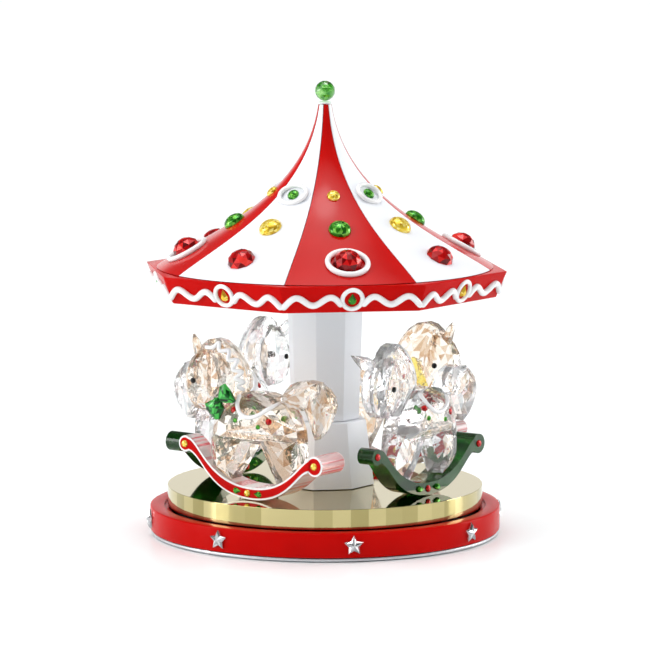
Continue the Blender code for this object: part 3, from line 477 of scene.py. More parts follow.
def tube(name, lines, radius, closed=False, wobble=0.0, seed=0):
    """A piped bead along each line of points, in millimetres, as a mesh with round ends."""
    curve = bpy.data.curves.new(name, "CURVE")
    curve.dimensions = "3D"
    curve.bevel_depth = radius * MM
    curve.bevel_resolution = 5
    curve.use_fill_caps = True
    shake = random.Random(seed)
    for line in lines:
        places = [(Vector(point), 1.0) for point in line] if closed else round_ends(line, radius)
        spline = curve.splines.new("POLY")
        spline.points.add(len(places) - 1)
        spline.use_cyclic_u = closed
        for index, (point, share) in enumerate(places):
            spline.points[index].co = (*(point * MM), 1.0)
            spline.points[index].radius = share * (1 + shake.uniform(-wobble, wobble))
    helper = bpy.data.objects.new(name, curve)
    bpy.context.scene.collection.objects.link(helper)
    bpy.context.view_layer.update()
    graph = bpy.context.evaluated_depsgraph_get()
    mesh = bpy.data.meshes.new_from_object(helper.evaluated_get(graph))
    bpy.data.objects.remove(helper)
    mesh.shade_smooth()
    return mesh


# Stones


def cut_stone(name, radius, height, sides, rows, seed):
    """A faceted dome on a flat back: each row of facets is turned half a facet from the one below."""
    back_radius = radius * 0.96
    back_z = -0.3
    girdle_z = 0.25
    bm = bmesh.new()
    back = [bm.verts.new(polar(back_radius, FULL_TURN * step / sides, back_z)) for step in range(sides)]
    below = [bm.verts.new(polar(radius, FULL_TURN * step / sides, girdle_z)) for step in range(sides)]
    bm.faces.new(back)
    for step in range(sides):
        after = (step + 1) % sides
        bm.faces.new((back[step], back[after], below[after], below[step]))
    for row in range(1, rows + 1):
        rise = (row / (rows + 0.6)) ** 0.9 * math.pi / 2
        ring_radius = radius * math.cos(rise)
        z = girdle_z + (height - girdle_z) * math.sin(rise)
        shift = 0.5 * (row % 2)
        angles = [FULL_TURN * (step + shift) / sides for step in range(sides)]
        ring = [bm.verts.new(polar(ring_radius, angle, z)) for angle in angles]
        for step in range(sides):
            after = (step + 1) % sides
            if row % 2:
                bm.faces.new((below[step], below[after], ring[step]))
                bm.faces.new((ring[step], below[after], ring[after]))
            else:
                bm.faces.new((below[step], ring[after], ring[step]))
                bm.faces.new((below[step], below[after], ring[after]))
        below = ring
    top = bm.verts.new((0, 0, height))
    for step in range(sides):
        bm.faces.new((below[step], below[(step + 1) % sides], top))
    return tone_faces(finished_mesh(name, bm), seed)


def drop_stone(name, half_width, low, high, height, seed):
    """A flat-backed drop: a round foot that runs up to a point."""
    outline = []
    steps = 10
    foot_start = math.radians(-210)
    foot_sweep = math.radians(240)
    for step in range(steps + 1):
        angle = foot_start + foot_sweep * step / steps
        outline.append((half_width * math.cos(angle), low + half_width + half_width * math.sin(angle)))
    outline.append((0, high))
    centre_y = low + half_width
    rings = []
    for share, z in ((1.0, -0.2), (1.0, 0.3), (0.55, height)):
        rings.append([(x * share, centre_y + (y - centre_y) * share, z) for x, y in outline])
    mesh = finished_mesh(name, loft(rings))
    return tone_facets(mesh, seed)


def standing(point, outward, up):
    """A matrix that stands a stone's local Z along outward, with its local Y near up."""
    z = Vector(outward).normalized()
    x = Vector(up).cross(z).normalized()
    y = z.cross(x)
    return Matrix.Translation(Vector(point) * MM) @ Matrix((x, y, z)).transposed().to_4x4()


# Base


def make_base():
    """The lacquered ring with its inner lip, the bright trim ring, and the stars."""
    ring_width = 7.1
    lip_overlap = 0.8
    lip_thickness = 1.2
    trim_width = 3
    low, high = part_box("base_ring")
    radius = high.x / MM
    inner = radius - ring_width
    bottom = low.z / MM
    top = high.z / MM
    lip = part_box("turntable_disc")[1].x / MM - lip_overlap
    lip_top = top - lip_thickness
    lip_bottom = lip_top - lip_thickness
    ring = [(radius, bottom), (radius, top), (inner, top), (inner, lip_top), (lip, lip_top)]
    ring += [(lip, lip_bottom), (inner, lip_bottom), (inner, bottom)]
    mesh = finished_mesh("base_ring_lacquer", bevelled(turned(ring, 160, True), 0.7, 3), 40)
    show("base_ring_lacquer", mesh, "base_red", "base", replaces=["base_ring"])
    low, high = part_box("base_trim_ring")
    radius = high.x / MM
    inner = radius - trim_width
    trim = [(radius, low.z / MM), (radius, high.z / MM), (inner, high.z / MM), (inner, low.z / MM)]
    mesh = finished_mesh("base_trim", bevelled(turned(trim, 160, True), 0.35, 2), 40)
    show("base_trim", mesh, "silver", "base", replaces=["base_trim_ring"])
    star = star_mesh()
    for index in range(SIDES):
        turn = Matrix.Rotation(FULL_TURN * index / SIDES, 4, "Z")
        node = f"star_stone_{index + 1}"
        show(f"cut_star_{index + 1}", star.copy(), "star", "base", turn, [node])


def star_mesh():
    """A five-pointed cut stone on the front of the base, with a bevelled rim round a raised star."""
    low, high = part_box("star_stone_1")
    radius = (high.z - low.z) / MM / (1 + math.cos(math.pi / 5))
    centre = high.z / MM - radius
    back = -high.y / MM
    bm = bmesh.new()
    rings = []
    for share, rise, waist in ((1.0, 0.0, 0.52), (1.0, 0.7, 0.52), (0.78, 1.5, 0.46)):
        ring = []
        for step in range(10):
            reach = radius * share * (1 if step % 2 == 0 else waist)
            angle = math.pi / 2 + FULL_TURN * step / 10
            corner = (reach * math.cos(angle), -back - rise, centre + reach * math.sin(angle))
            ring.append(bm.verts.new(corner))
        rings.append(ring)
    bm.faces.new(rings[0])
    for first, second in zip(rings, rings[1:]):
        for step in range(10):
            after = (step + 1) % 10
            bm.faces.new((first[step], first[after], second[after], second[step]))
    top = bm.verts.new((0, -back - 2.3, centre))
    for step in range(10):
        bm.faces.new((rings[-1][step], rings[-1][(step + 1) % 10], top))
    return tone_faces(finished_mesh("star", bm), 5)


def make_turntable():
    """The gold disc, whose side is cut into flats, each with a painted reflection: a random darker gold
    tone for the studio reflected in it.
    """
    low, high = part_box("turntable_disc")
    radius = high.x / MM
    bottom = low.z / MM
    top = high.z / MM
    wall = 2.0
    bore = 3.0
    profile = [(bore, top - wall), (radius - wall, top - wall), (radius - wall, bottom), (radius, bottom)]
    profile += [(radius, top), (bore, top)]
    sides = 56
    mesh = finished_mesh("turntable_gold", bevelled(turned(profile, sides), 0.15, 2, 30), 20)
    # Painted reflection: each flat of the side gets a random darker tone, for the light and dark of the
    # studio reflected in it.
    tones = random.Random(17)
    bands = [max(0.0, tones.uniform(-0.6, 1.0)) for _ in range(sides)]
    layer = mesh.attributes.new("facet", "FLOAT", "FACE")
    for face, value in zip(mesh.polygons, layer.data):
        on_side = abs(face.normal.z) < 0.2
        if on_side:
            turn = math.atan2(face.center.y, face.center.x) / FULL_TURN
            value.value = bands[int(turn * sides) % sides]
    show("turntable_gold", mesh, "gold", replaces=["turntable_disc"])


def make_column():
    """The two enamelled tiers: a flared foot with a ledge, and a shaft that widens a little upwards."""
    foot_radius = 24.6
    ledge_radius = 20.5
    ledge_top_radius = 20.2
    ledge_chamfer = 0.6
    shaft_radii = (17.0, 19.0)
    low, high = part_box("column_lower")
    bottom = low.z / MM
    step = high.z / MM
    lower = [(foot_radius, bottom), (ledge_radius, step - ledge_chamfer), (ledge_top_radius, step)]
    mesh = finished_mesh("column_foot", bevelled(octagonal(lower), 0.25, 2, 12), 20)
    show("column_foot", mesh, "white", replaces=["column_lower"])
    low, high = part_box("column_upper")
    upper = [(shaft_radii[0], low.z / MM), (shaft_radii[1], high.z / MM)]
    mesh = finished_mesh("column_shaft", bevelled(octagonal(upper), 0.25, 2, 12), 20)
    show("column_shaft", mesh, "white", replaces=["column_upper"])


# Roof


def tent_point(share):
    """(radius, z) on the tent's outer line, from the eaves to the top."""
    return curve_point(TENT_POINTS, share)


def tent_share(radius):
    """How far up the curve the tent has this radius."""
    low, high = 0.0, 1.0
    for _ in range(30):
        middle = (low + high) / 2
        if tent_point(middle).x > radius:
            low = middle
        else:
            high = middle
    return low


def tent_spot(radius, angle, lift=0.0):
    """A standing matrix on the tent's surface: angle is from the front, towards +X."""
    share = tent_share(radius)
    point = tent_point(share)
    run = (tent_point(share + 0.005) - tent_point(share - 0.005)).normalized()
    outward = Vector((math.sin(angle), -math.cos(angle), 0))
    up_slope = outward * run.x + Vector((0, 0, run.y))
    normal = outward * run.y - Vector((0, 0, run.x))
    place = outward * point.x + Vector((0, 0, point.y)) + normal * lift
    return standing(place, normal, up_slope)


def tent_panel_mesh():
    """One of the tent's eight stripes, with a seam's gap to the next."""
    steps = 30
    outer = [tent_point(step / steps) for step in range(steps + 1)]
    inner = []
    for step, point in enumerate(outer):
        share = step / steps
        run = tent_point(min(1, share + 0.01)) - tent_point(max(0, share - 0.01))
        inner.append(point + Vector((-run.y, run.x)).normalized() * TENT_WALL)
    inner[0] = Vector((outer[0].x - 2 * TENT_WALL, outer[0].y))
    loop = outer + inner[::-1]
    half = math.pi / SIDES
    across = 14
    rings = []
    for step in range(across + 1):
        share = 2 * step / across - 1
        ring = []
        for radius, z in loop:
            angle = share * (half - math.asin(SEAM / 2 / radius)) - math.pi / 2
            ring.append(polar(radius, angle, z))
        rings.append(ring)
    return finished_mesh("tent_panel", bevelled(loft(rings), 0.12, 1, 50), 35)


def ring_line(half_width, half_height):
    """An oval line just above the surface it lies on."""
    steps = 48
    lift = 0.25
    angles = [FULL_TURN * step / steps for step in range(steps)]
    return [(half_width * math.cos(angle), half_height * math.sin(angle), lift) for angle in angles]


def make_roof():
    """The tent's stripes with three stones on each, and a piped ring round one of them."""
    shape = tent_panel_mesh()
    # Radius, height, sides, rows of facets and seed
    stones = {
        "big_ringed": cut_stone("stone", 7.1, 6.8, 10, 3, 11),
        "big": cut_stone("stone", 6.8, 5.5, 10, 3, 12),
        "green_medium": cut_stone("stone", 5.5, 4.0, 14, 4, 13),
        "yellow_medium": cut_stone("stone", 5.7, 4.0, 14, 5, 14),
        "yellow_small": cut_stone("stone", 3.2, 2.0, 12, 3, 15),
        "green_small": cut_stone("stone", 3.0, 2.2, 10, 3, 16),
    }
    # These domes are shaded smooth, so their facets show only as painted light and shade from the facet
    # tones.
    for kind in ("green_medium", "yellow_medium", "yellow_small", "green_small"):
        stones[kind].shade_smooth()
    wide_ring = tube("ring", [ring_line(9.5, 9.5)], 1.35, closed=True, wobble=0.03, seed=3)
    oval_ring = tube("ring", [ring_line(7.4, 5.6)], 1.1, closed=True, wobble=0.03, seed=4)
    ring_lift = 0.5
    rows = (UPPER_ROW, MIDDLE_ROW, LOWER_ROW)
    red_stones = (("yellow_small", "citrine"), ("green_medium", "emerald"), ("big_ringed", "ruby"))
    white_stones = (("green_small", "emerald"), ("yellow_medium", "citrine"), ("big", "ruby"))
    for index in range(SIDES):
        red = index % 2 == 0
        angle = FULL_TURN * index / SIDES
        turn = Matrix.Rotation(angle, 4, "Z")
        finish = "red" if red else "white"
        node = f"roof_panel_{index + 1}"
        show(f"tent_stripe_{index + 1}", shape.copy(), finish, matrix=turn, replaces=[node])
        for radius, (kind, stone_finish) in zip(rows, red_stones if red else white_stones):
            place = tent_spot(radius, angle)
            show(f"roof_stone_{index + 1}_{kind}", stones[kind].copy(), stone_finish, matrix=place)
        ring, radius = (wide_ring, LOWER_ROW) if red else (oval_ring, UPPER_ROW)
        place = tent_spot(radius, angle, ring_lift)
        show(f"roof_ring_{index + 1}", ring.copy(), "icing", matrix=place)
    make_rim()
    make_finial()


def fascia_matrix(index):
    """From a fascia's own frame (along, up the slope, outwards) to the roof."""
    angle = FULL_TURN * index / SIDES
    flat = math.cos(math.pi / SIDES)
    top = Vector((RIM_TOP[0] * flat, RIM_TOP[1]))
    bottom = Vector((RIM_BOTTOM[0] * flat, RIM_BOTTOM[1]))
    run = (top - bottom).normalized()
    middle = (top + bottom) / 2
    outward = Vector((math.sin(angle), -math.cos(angle), 0))
    up_slope = outward * run.x + Vector((0, 0, run.y))
    normal = outward * run.y - Vector((0, 0, run.x))
    return standing(outward * middle.x + Vector((0, 0, middle.y)), normal, up_slope)


def scroll_mesh():
    """The two halves of a fascia's piped wave, with room for the ring between them."""
    crests = (10.3, 26.6)
    start, end = 5.6, 32.2
    height = 2.05
    drop = 0.7
    droop = 0.045
    lift = 0.5
    steps = 48
    lines = []
    for side in (-1, 1):
        line = []
        for step in range(steps + 1):
            along = start + (end - start) * step / steps
            phase = FULL_TURN * (along - crests[0]) / (crests[1] - crests[0])
            rise = height * math.cos(phase) - drop
            overrun = max(0, crests[0] - along, along - crests[1])
            line.append((side * along, rise - droop * overrun**2, lift))
        lines.append(line)
    return tube("scroll", lines, 1.55, wobble=0.02, seed=7)


def make_rim():
    """The lacquered rim, and on each of its fascias a wave, a ring and a drop-shaped stone."""
    wall = 2.5
    ledge_inner = 80.0
    under = RIM_TOP[1] - wall
    rim = [RIM_TOP, RIM_BOTTOM, (RIM_BOTTOM[0] - wall, RIM_BOTTOM[1])]
    rim += [(RIM_TOP[0] - wall - 1, under), (ledge_inner, under), (ledge_inner, RIM_TOP[1])]
    mesh = finished_mesh("rim", bevelled(octagonal(rim, True), 0.45, 3), 30)
    show("rim_lacquer", mesh, "base_red", replaces=["roof_rim"])
    scroll = scroll_mesh()
    ring = tube("ring", [ring_line(4.75, 5.0)], 1.1, closed=True, wobble=0.03, seed=8)
    drop = drop_stone("drop", 2.0, -2.9, 3.1, 1.5, 9)
    for index in range(SIDES):
        matrix = fascia_matrix(index)
        show(f"fascia_scroll_{index + 1}", scroll.copy(), "icing", matrix=matrix)
        show(f"fascia_ring_{index + 1}", ring.copy(), "icing", matrix=matrix)
        finish = "emerald" if index % 2 == 0 else "citrine"
        show(f"fascia_drop_{index + 1}", drop.copy(), finish, matrix=matrix)


def make_finial():
    """The crystal ball, cut in rows of triangles, on its collar."""
    low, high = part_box("finial_ball")
    radius = (high.x - low.x) / 2 / MM
    centre = (low.z + high.z) / 2 / MM
    bands = 9
    around = 14
    rings = []
    for band in range(bands):
        lift = math.pi * (band + 0.6) / (bands + 0.2) - math.pi / 2
        shift = 0.5 * (band % 2)
        height = centre + radius * math.sin(lift)
        angles = [FULL_TURN * (step + shift) / around for step in range(around)]
        rings.append([polar(radius * math.cos(lift), angle, height) for angle in angles])
    bm = loft(rings)
    bmesh.ops.triangulate(bm, faces=[face for face in bm.faces if len(face.verts) == 4])
    mesh = tone_facets(finished_mesh("finial", bm), 21)
    show("finial_crystal", mesh, "green_ball", replaces=["finial_ball"])
    low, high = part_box("finial_collar")
    radius = high.x / MM
    bottom = low.z / MM
    top = high.z / MM
    chamfer = 0.4
    profile = [(radius - chamfer, bottom), (radius, bottom + chamfer)]
    profile += [(radius, top - chamfer), (radius - 0.6, top)]
    mesh = finished_mesh("collar", bevelled(turned(profile, 48), 0.2, 2, 15), 40)
    show("finial_seat", mesh, "white", replaces=["finial_collar"])


# Horses, in a local frame: u forward, w outward and v up from the line between the rocker's rolls


def horse_matrix(angle):
    """From a horse's own frame, in metres, to the turntable."""
    turn = math.radians(angle)
    forward = Vector((-math.cos(turn), -math.sin(turn), 0))
    outward = Vector((math.sin(turn), -math.cos(turn), 0))
    axes = Matrix((forward, outward, Vector((0, 0, 1)))).transposed().to_4x4()
    disc_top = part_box("turntable_disc")[1].z
    centre = outward * HORSE_RADIUS * MM + Vector((0, 0, disc_top + HORSE_LIFT * MM))
    return Matrix.Translation(centre) @ axes @ Matrix.Rotation(-HORSE_PITCH, 4, "Y")


def cut_crystal(outline, half_width, edge, seed):
    """A convex cut crystal: rows of facets step in from the outline (u, v) to a thick middle."""
    middle = sum((Vector(point) for point in outline), Vector((0, 0))) / len(outline)
    shake = random.Random(seed)
    points = []
    count = len(outline)
    for index, corner in enumerate(outline):
        corner = Vector(corner)
        following = Vector(outline[(index + 1) % count])
        points.append((corner, edge))
        between = (corner + following) / 2
        share = 0.80 + shake.uniform(-0.03, 0.03)
        points.append((middle + (between - middle) * share, half_width * 0.70))
        share = 0.50 + shake.uniform(-0.05, 0.05)
        points.append((middle + (corner - middle) * share, half_width * 0.93))
        if index % 2:
            points.append((middle + (between - middle) * 0.2, half_width))
    bm = bmesh.new()
    for place, width in points:
        bm.verts.new((place.x, width, place.y))
        bm.verts.new((place.x, -width, place.y))
    found = bmesh.ops.convex_hull(bm, input=bm.verts)
    unused = [item for item in found["geom_interior"] if isinstance(item, bmesh.types.BMVert)]
    bmesh.ops.delete(bm, geom=unused, context="VERTS")
    return finished_mesh("cut", bm)


def horse_body_mesh():
    """The trunk with a pair of front legs and a pair of rear legs, each pair one broad crystal."""
    trunk = (
        (6.2, 29.2), (0.3, 29.8), (-6.3, 30.0), (-12, 29.0), (-18, 25.6), (-22.6, 20.6),
        (-25.6, 14.4), (-26.6, 8.4), (-22, 6.0), (-11, 7.4), (0, 8.2), (11, 6.6), (20, 4.4),
        (24.4, 4.4), (23.6, 10.8), (21.8, 17.6), (14.0, 24.0),
    )
    front = (
        (23.2, 12.0), (24.8, 4.4), (24.6, -2.0), (23.6, -7.9), (17.8, -11.4), (12.2, -13.6),
        (10.8, -7.0), (8.0, -0.5), (3.6, 5.2), (-1.5, 8.8), (3.0, 14.0),
    )
    rear = (
        (-26.2, 10.0), (-27.0, 3.0), (-26.4, -5.8), (-20.0, -10.3), (-15.2, -12.7), (-13.8, -6.0),
        (-11.4, -0.5), (-7.4, 5.2), (-2.5, 8.8), (-6.0, 14.5),
    )
    parts = [cut_crystal(trunk, 10.6, 4.2, 31), cut_crystal(front, 8.2, 4.2, 32)]
    parts.append(cut_crystal(rear, 8.6, 4.4, 33))
    return tone_facets(combined(parts), 34)


def horse_head_mesh(lowered):
    """The mane, neck, skull and ear. A lowered ear points forward, and the other stands up."""
    mane = (
        (7.4, 28.9), (5.5, 31.2), (5.4, 35.3), (7.6, 40.3), (11.0, 45.2), (15.2, 49.3),
        (20.6, 52.3), (25.6, 52.9), (30.0, 51.7), (33.6, 48.7), (35.0, 45.4), (22, 37), (13, 29),
    )
    neck = (
        (11.5, 30.0), (12.5, 38.0), (18.0, 44.5), (27.0, 46.6), (33.0, 42.0), (32.0, 27.0),
        (28.0, 18.6), (22.3, 18.2), (16.0, 24.4),
    )
    skull = (
        (29.0, 48.0), (34.5, 46.0), (38.8, 42.0), (41.6, 37.0), (42.4, 31.5), (41.8, 25.6),
        (39.8, 21.0), (36.2, 18.2), (30.0, 17.5), (25.4, 20.6), (22.6, 27.0), (22.4, 35.0),
        (24.8, 42.6),
    )
    if lowered:
        ear = (
            (38.4, 45.2), (44.6, 47.6), (50.6, 48.6), (56.6, 49.2), (52.4, 45.4), (48.0, 42.2),
            (41.0, 40.0), (38.0, 41.6),
        )
    else:
        ear = (
            (34.2, 45.4), (37.0, 50.2), (40.2, 53.0), (40.6, 49.0), (39.2, 44.6), (37.8, 40.8),
            (35.4, 41.6),
        )
    parts = [cut_crystal(mane, 5.0, 2.2, 41), cut_crystal(neck, 7.0, 4.4, 42)]
    parts += [cut_crystal(skull, 8.0, 3.0, 43), cut_crystal(ear, 2.2, 0.8, 44)]
    return tone_facets(combined(parts), 45)


def horse_tail_mesh():
    """A thick tail that arches up from the rump and curls down to a point."""
    arch = (
        (-14.8, 28.4), (-17.5, 32.4), (-20.4, 35.9), (-24.6, 38.0), (-29.0, 38.7), (-35.2, 38.3),
        (-37, 31), (-34.0, 25.0), (-26.0, 24.3), (-20.0, 24.9),
    )
    curl = (
        (-30.5, 38.6), (-35.4, 38.3), (-40.0, 35.9), (-43.4, 32.4), (-44.5, 28.6), (-43.7, 25.0),
        (-41.8, 20.4), (-38.6, 14.6), (-35.2, 11.2), (-33.6, 15.0), (-31.2, 20.5), (-28.0, 27.0),
    )
    parts = [cut_crystal(arch, 6.6, 3.4, 46), cut_crystal(curl, 6.6, 2.4, 47)]
    return tone_facets(combined(parts), 48)


def rocker_half_width(u):
    """Half the rocker's depth at u, which grows a little towards the rear."""
    return ROCKER_HALF_WIDTH - ROCKER_TAPER * u


def rocker_shape(inset, widths):
    """The rocker, drawn in by inset all round, between two depths that are functions of u."""
    steps = 24
    stations = [(1, step / steps) for step in range(steps + 1)]
    stations += [(-1, 1 - step / steps) for step in range(1, steps + 1)]
    near, far = widths
    rings = []
    for side, share in stations:
        ring = []
        for points, turn in ((ROCKER_LOWER, -1), (ROCKER_UPPER, 1)):
            run = curve_point(points, min(1, share + 0.01)) - curve_point(points, max(0, share - 0.01))
            inward = Vector((-run.y, run.x)).normalized() * -turn
            inwards, height = curve_point(points, share) + inward * inset
            u = side * (ROLL_HALF_SPAN - inwards)
            pair = [(u, near(u), height), (u, far(u), height)]
            ring += pair if turn < 0 else pair[::-1]
        rings.append(ring)
    parts = [finished_mesh("plate", loft(rings))]
    for end, radius in zip((ROLL_HALF_SPAN, -ROLL_HALF_SPAN), ROLL_RADII):
        rings = []
        angles = [FULL_TURN * step / 40 for step in range(40)]
        for depth in (near, far):
            ring = []
            for angle in angles:
                u = end + (radius - inset) * math.cos(angle)
                ring.append((u, depth(u), (radius - inset) * math.sin(angle)))
            rings.append(ring)
        parts.append(finished_mesh("roll", loft(rings)))
    return combined(parts)


def rocker_side(side, rise):
    """The depth of one side of the rocker, plus a rise outwards, as a function of u."""
    return lambda u: side * (rocker_half_width(u) + rise)


def rocker_mesh():
    """The glass body of the rocker, with its flat parts merged and its sharp edges bevelled."""
    mesh = rocker_shape(0.0, (rocker_side(-1, 0.0), rocker_side(1, 0.0)))
    bm = bmesh.new()
    bm.from_mesh(mesh)
    bmesh.ops.dissolve_limit(bm, angle_limit=math.radians(0.5), verts=bm.verts, edges=bm.edges)
    bevelled(bm, 0.3 * MM, 2, 50)
    bm.to_mesh(mesh)
    bm.free()
    mesh.shade_smooth()
    mesh.set_sharp_from_angle(angle=math.radians(30))
    return tone_faces(mesh, 47)


def rocker_face(inset, thickness):
    """A thin plate of the rocker's outline on each of its two sides."""
    gap = 0.02
    plates = []
    for side in (-1, 1):
        plate = rocker_shape(inset, (rocker_side(side, gap), rocker_side(side, thickness)))
        plates.append((plate, Matrix.Identity(4)))
    return joined("rocker_face", plates)


class Surface:
    """Finds where a sideways line meets a crystal, in millimetres of the horse's frame."""

    def __init__(self, mesh):
        bm = bmesh.new()
        bm.from_mesh(mesh)
        self.tree = BVHTree.FromBMesh(bm)
        bm.free()

    def at(self, u, v, side):
        """(point, normal) on the given side, or the middle plane where nothing is met."""
        start = Vector((u, side * 40, v)) * MM
        point, normal, _, _ = self.tree.ray_cast(start, Vector((0, -side, 0)))
        if point is None:
            return Vector((u, 0, v)), Vector((0, side, 0))
        return point / MM, normal


def spline_points(points, per_span):
    """A smooth line through the given points."""
    count = len(points)
    line = []
    for span in range(count - 1):
        picks = [Vector(points[max(0, min(count - 1, span + offset))]) for offset in (-1, 0, 1, 2)]
        before, start, end, after = picks
        for step in range(per_span):
            t = step / per_span
            point = 2 * start + (end - before) * t
            point += (2 * before - 5 * start + 4 * end - after) * t**2
            point += (3 * start - before - 3 * end + after) * t**3
            line.append(0.5 * point)
    line.append(Vector(points[-1]))
    return line


def piped_on(name, surface, corners, radius, lift, seed, sides=(-1, 1)):
    """Icing piped along (u, v) corners on the chosen sides of a body, standing this far off it."""
    lines = []
    for side in sides:
        guide = []
        for u, v in corners:
            point, normal = surface.at(u, v, side)
            guide.append(tuple(point + normal * lift))
        lines.append(spline_points(guide, 6))
    return tube(name, lines, radius, wobble=0.05, seed=seed)


def saddle_icing(surface):
    """A piped swag on each side under the saddle."""
    swag = (
        (7.4, 27.2), (6.4, 23.6), (3.2, 20.2), (-1.6, 18.9), (-7.0, 20.4), (-12.0, 24.0),
        (-16.0, 27.4),
    )
    return piped_on("saddle_icing", surface, swag, 1.05, 0.3, 51)


def mane_icing(surface):
    """A zigzag piped along the mane on its outer side."""
    corners = (
        (29.0, 48.2), (25.0, 48.6), (22.2, 51.0), (20.6, 47.6), (16.0, 47.8), (15.2, 43.9),
        (11.2, 44.0), (12.4, 39.6), (8.2, 38.6), (10.8, 35.6), (7.2, 34.2), (9.8, 32.2),
        (7.6, 30.4),
    )
    return piped_on("mane_icing", surface, corners, 1.0, 0.6, 52, (1,))


def side_stones(name, spots, surface, stone):
    """The same stone at each (u, v) on both sides, in one mesh."""
    placed = []
    for u, v in spots:
        for side in (-1, 1):
            point, normal = surface.at(u, v, side)
            placed.append((stone, standing(point, normal, (0, 0, 1))))
    return joined(name, placed)


def rocker_stones(name, spots, stone, lift):
    """The same stone at each (u, v) on both of the rocker's faces, in one mesh."""
    placed = []
    for u, v in spots:
        for side in (-1, 1):
            point = (u, side * (rocker_half_width(u) + lift), v)
            placed.append((stone, standing(point, (0, side, 0), (0, 0, 1))))
    return joined(name, placed)


def bow_mesh():
    """Two cut wings and a knot, worn on the outer side of the neck."""
    middle = 10.6
    upper_wing = (
        (16.8, 24.2), (16.2, 28.0), (15.2, 31.8), (12.9, 33.3), (9.4, 30.2), (6.3, 26.0),
        (7.0, 24.8), (12.0, 24.2),
    )
    lower_wing = (
        (16.2, 25.9), (20.4, 24.4), (23.9, 22.4), (22.7, 19.5), (19.6, 17.0), (17.0, 15.4),
        (15.3, 15.9), (12.7, 21.3), (14.4, 24.0),
    )
    parts = []
    for seed, wing in enumerate((upper_wing, lower_wing)):
        parts.append(cut_crystal(wing, 1.7, 0.7, 61 + seed))
    outline = [(16.9 + 2.1 * math.cos(angle), 24.4 + 2.1 * math.sin(angle)) for angle in range(6)]
    parts.append(cut_crystal(outline, 2.6, 1.2, 63))
    for mesh in parts:
        mesh.transform(Matrix.Translation((0, middle * MM, 0)))
    return tone_facets(combined(parts), 64)


def rocker_drops(drop, height):
    """Two drops on each of the rocker's faces, one on either side of the centre stone."""
    reach = 6.4
    lift = 0.5
    quarter_turn = Matrix.Rotation(math.radians(90), 4, "Z")
    placed = []
    for side in (-1, 1):
        for along in (-1, 1):
            u = along * reach
            point = (u, side * (rocker_half_width(u) + lift), height)
            spin = quarter_turn if along * side < 0 else quarter_turn.inverted()
            placed.append((drop, standing(point, (0, side, 0), (0, 0, 1)) @ spin))
    return joined("drops", placed)


def make_horses():
    """Four horses on their rockers: champagne on red and clear on green, in turn."""
    body = horse_body_mesh()
    body_surface = Surface(body)
    heads = [horse_head_mesh(lowered) for lowered in (False, True)]
    head_surfaces = [Surface(head) for head in heads]
    tail = horse_tail_mesh()
    rocker = rocker_mesh()
    bow = bow_mesh()
    saddle = saddle_icing(body_surface)
    mane = mane_icing(head_surfaces[0])
    small = cut_stone("stone", 1.25, 0.8, 8, 2, 71)
    middle = cut_stone("stone", 1.6, 0.9, 9, 2, 72)
    roll_stone = cut_stone("stone", 1.75, 1.0, 12, 3, 73)
    drop = drop_stone("drop", 1.5, -2.2, 2.3, 0.9, 74)
    bead = cut_stone("bead", 1.4, 1.1, 16, 6, 75)
    bead.shade_smooth()
    red_spots = side_stones("red", ((8.4, 21.2), (-13.0, 18.0)), body_surface, middle)
    green_spots = side_stones("green", ((6.2, 16.4), (-7.6, 14.9)), body_surface, small)
    eyes = []
    for spot, surface in zip(((33.8, 32.0), (33.0, 32.0)), head_surfaces):
        eyes.append(side_stones("eyes", (spot,), surface, bead))
    white_face = rocker_face(0.0, 0.30)
    red_face = rocker_face(0.9, 0.55)
    roll_spots = ((-ROLL_HALF_SPAN, 0), (ROLL_HALF_SPAN, 0))
    centre_height = -(ROCKER_DROP + ROCKER_TOP_DROP) / 2
    centre_spot = ((0, centre_height),)
    drops = rocker_drops(drop, centre_height + 0.35)
    for index, angle in enumerate(HORSE_ANGLES):
        matrix = horse_matrix(angle)
        name = f"horse_{index + 1}"
        style = index % 2
        crystal_finish = ("champagne", "clear")[style]
        glass_finish = ("rocker_clear", "green_glass")[style]
        stone_finish = ("citrine", "ruby")[style]
        # The red rockers' stones stand on a raised face
        lift = (0.5, 0.0)[style]

        def add(label, mesh, finish, replaces=()):
            show(f"{name}_{label}", mesh.copy(), finish, matrix=matrix, replaces=replaces)

        add("cut_body", body, crystal_finish, [f"{name}_body"])
        add("cut_head", heads[style], crystal_finish, [f"{name}_head"])
        add("cut_tail", tail, crystal_finish, [f"{name}_tail"])
        add("saddle_icing", saddle, "icing")
        add("eyes", eyes[style], "eye")
        add("red_stones", red_spots, "ruby")
        add("green_stones", green_spots, "emerald")
        add("bowed_rocker", rocker, glass_finish, [f"{name}_rocker"])
        add("roll_stones", rocker_stones("rolls", roll_spots, roll_stone, lift), stone_finish)
        add("centre_stones", rocker_stones("centre", centre_spot, roll_stone, lift), stone_finish)
        add("drop_stones", drops, "emerald")
        if index == 0:
            add("mane_icing", mane, "icing")
        if style == 0:
            add("rocker_outline", white_face, "icing")
            add("rocker_face", red_face, "base_red")
            add("cut_bow", bow, ("bow", "lemon")[index // 2], [f"{name}_bow"])


# CAD nodes that show as they are


def dress_nodes():
    """Gives every CAD node the finish of its slot in the record."""
    for subpart in frame["record"]["subparts"]:
        node = frame["nodes"][subpart["node"]]
        for index in range(len(node.data.materials)):
            node.data.materials[index] = FINISHES[SLOT_FINISHES[subpart["material_slot"]][0]]


# Stage


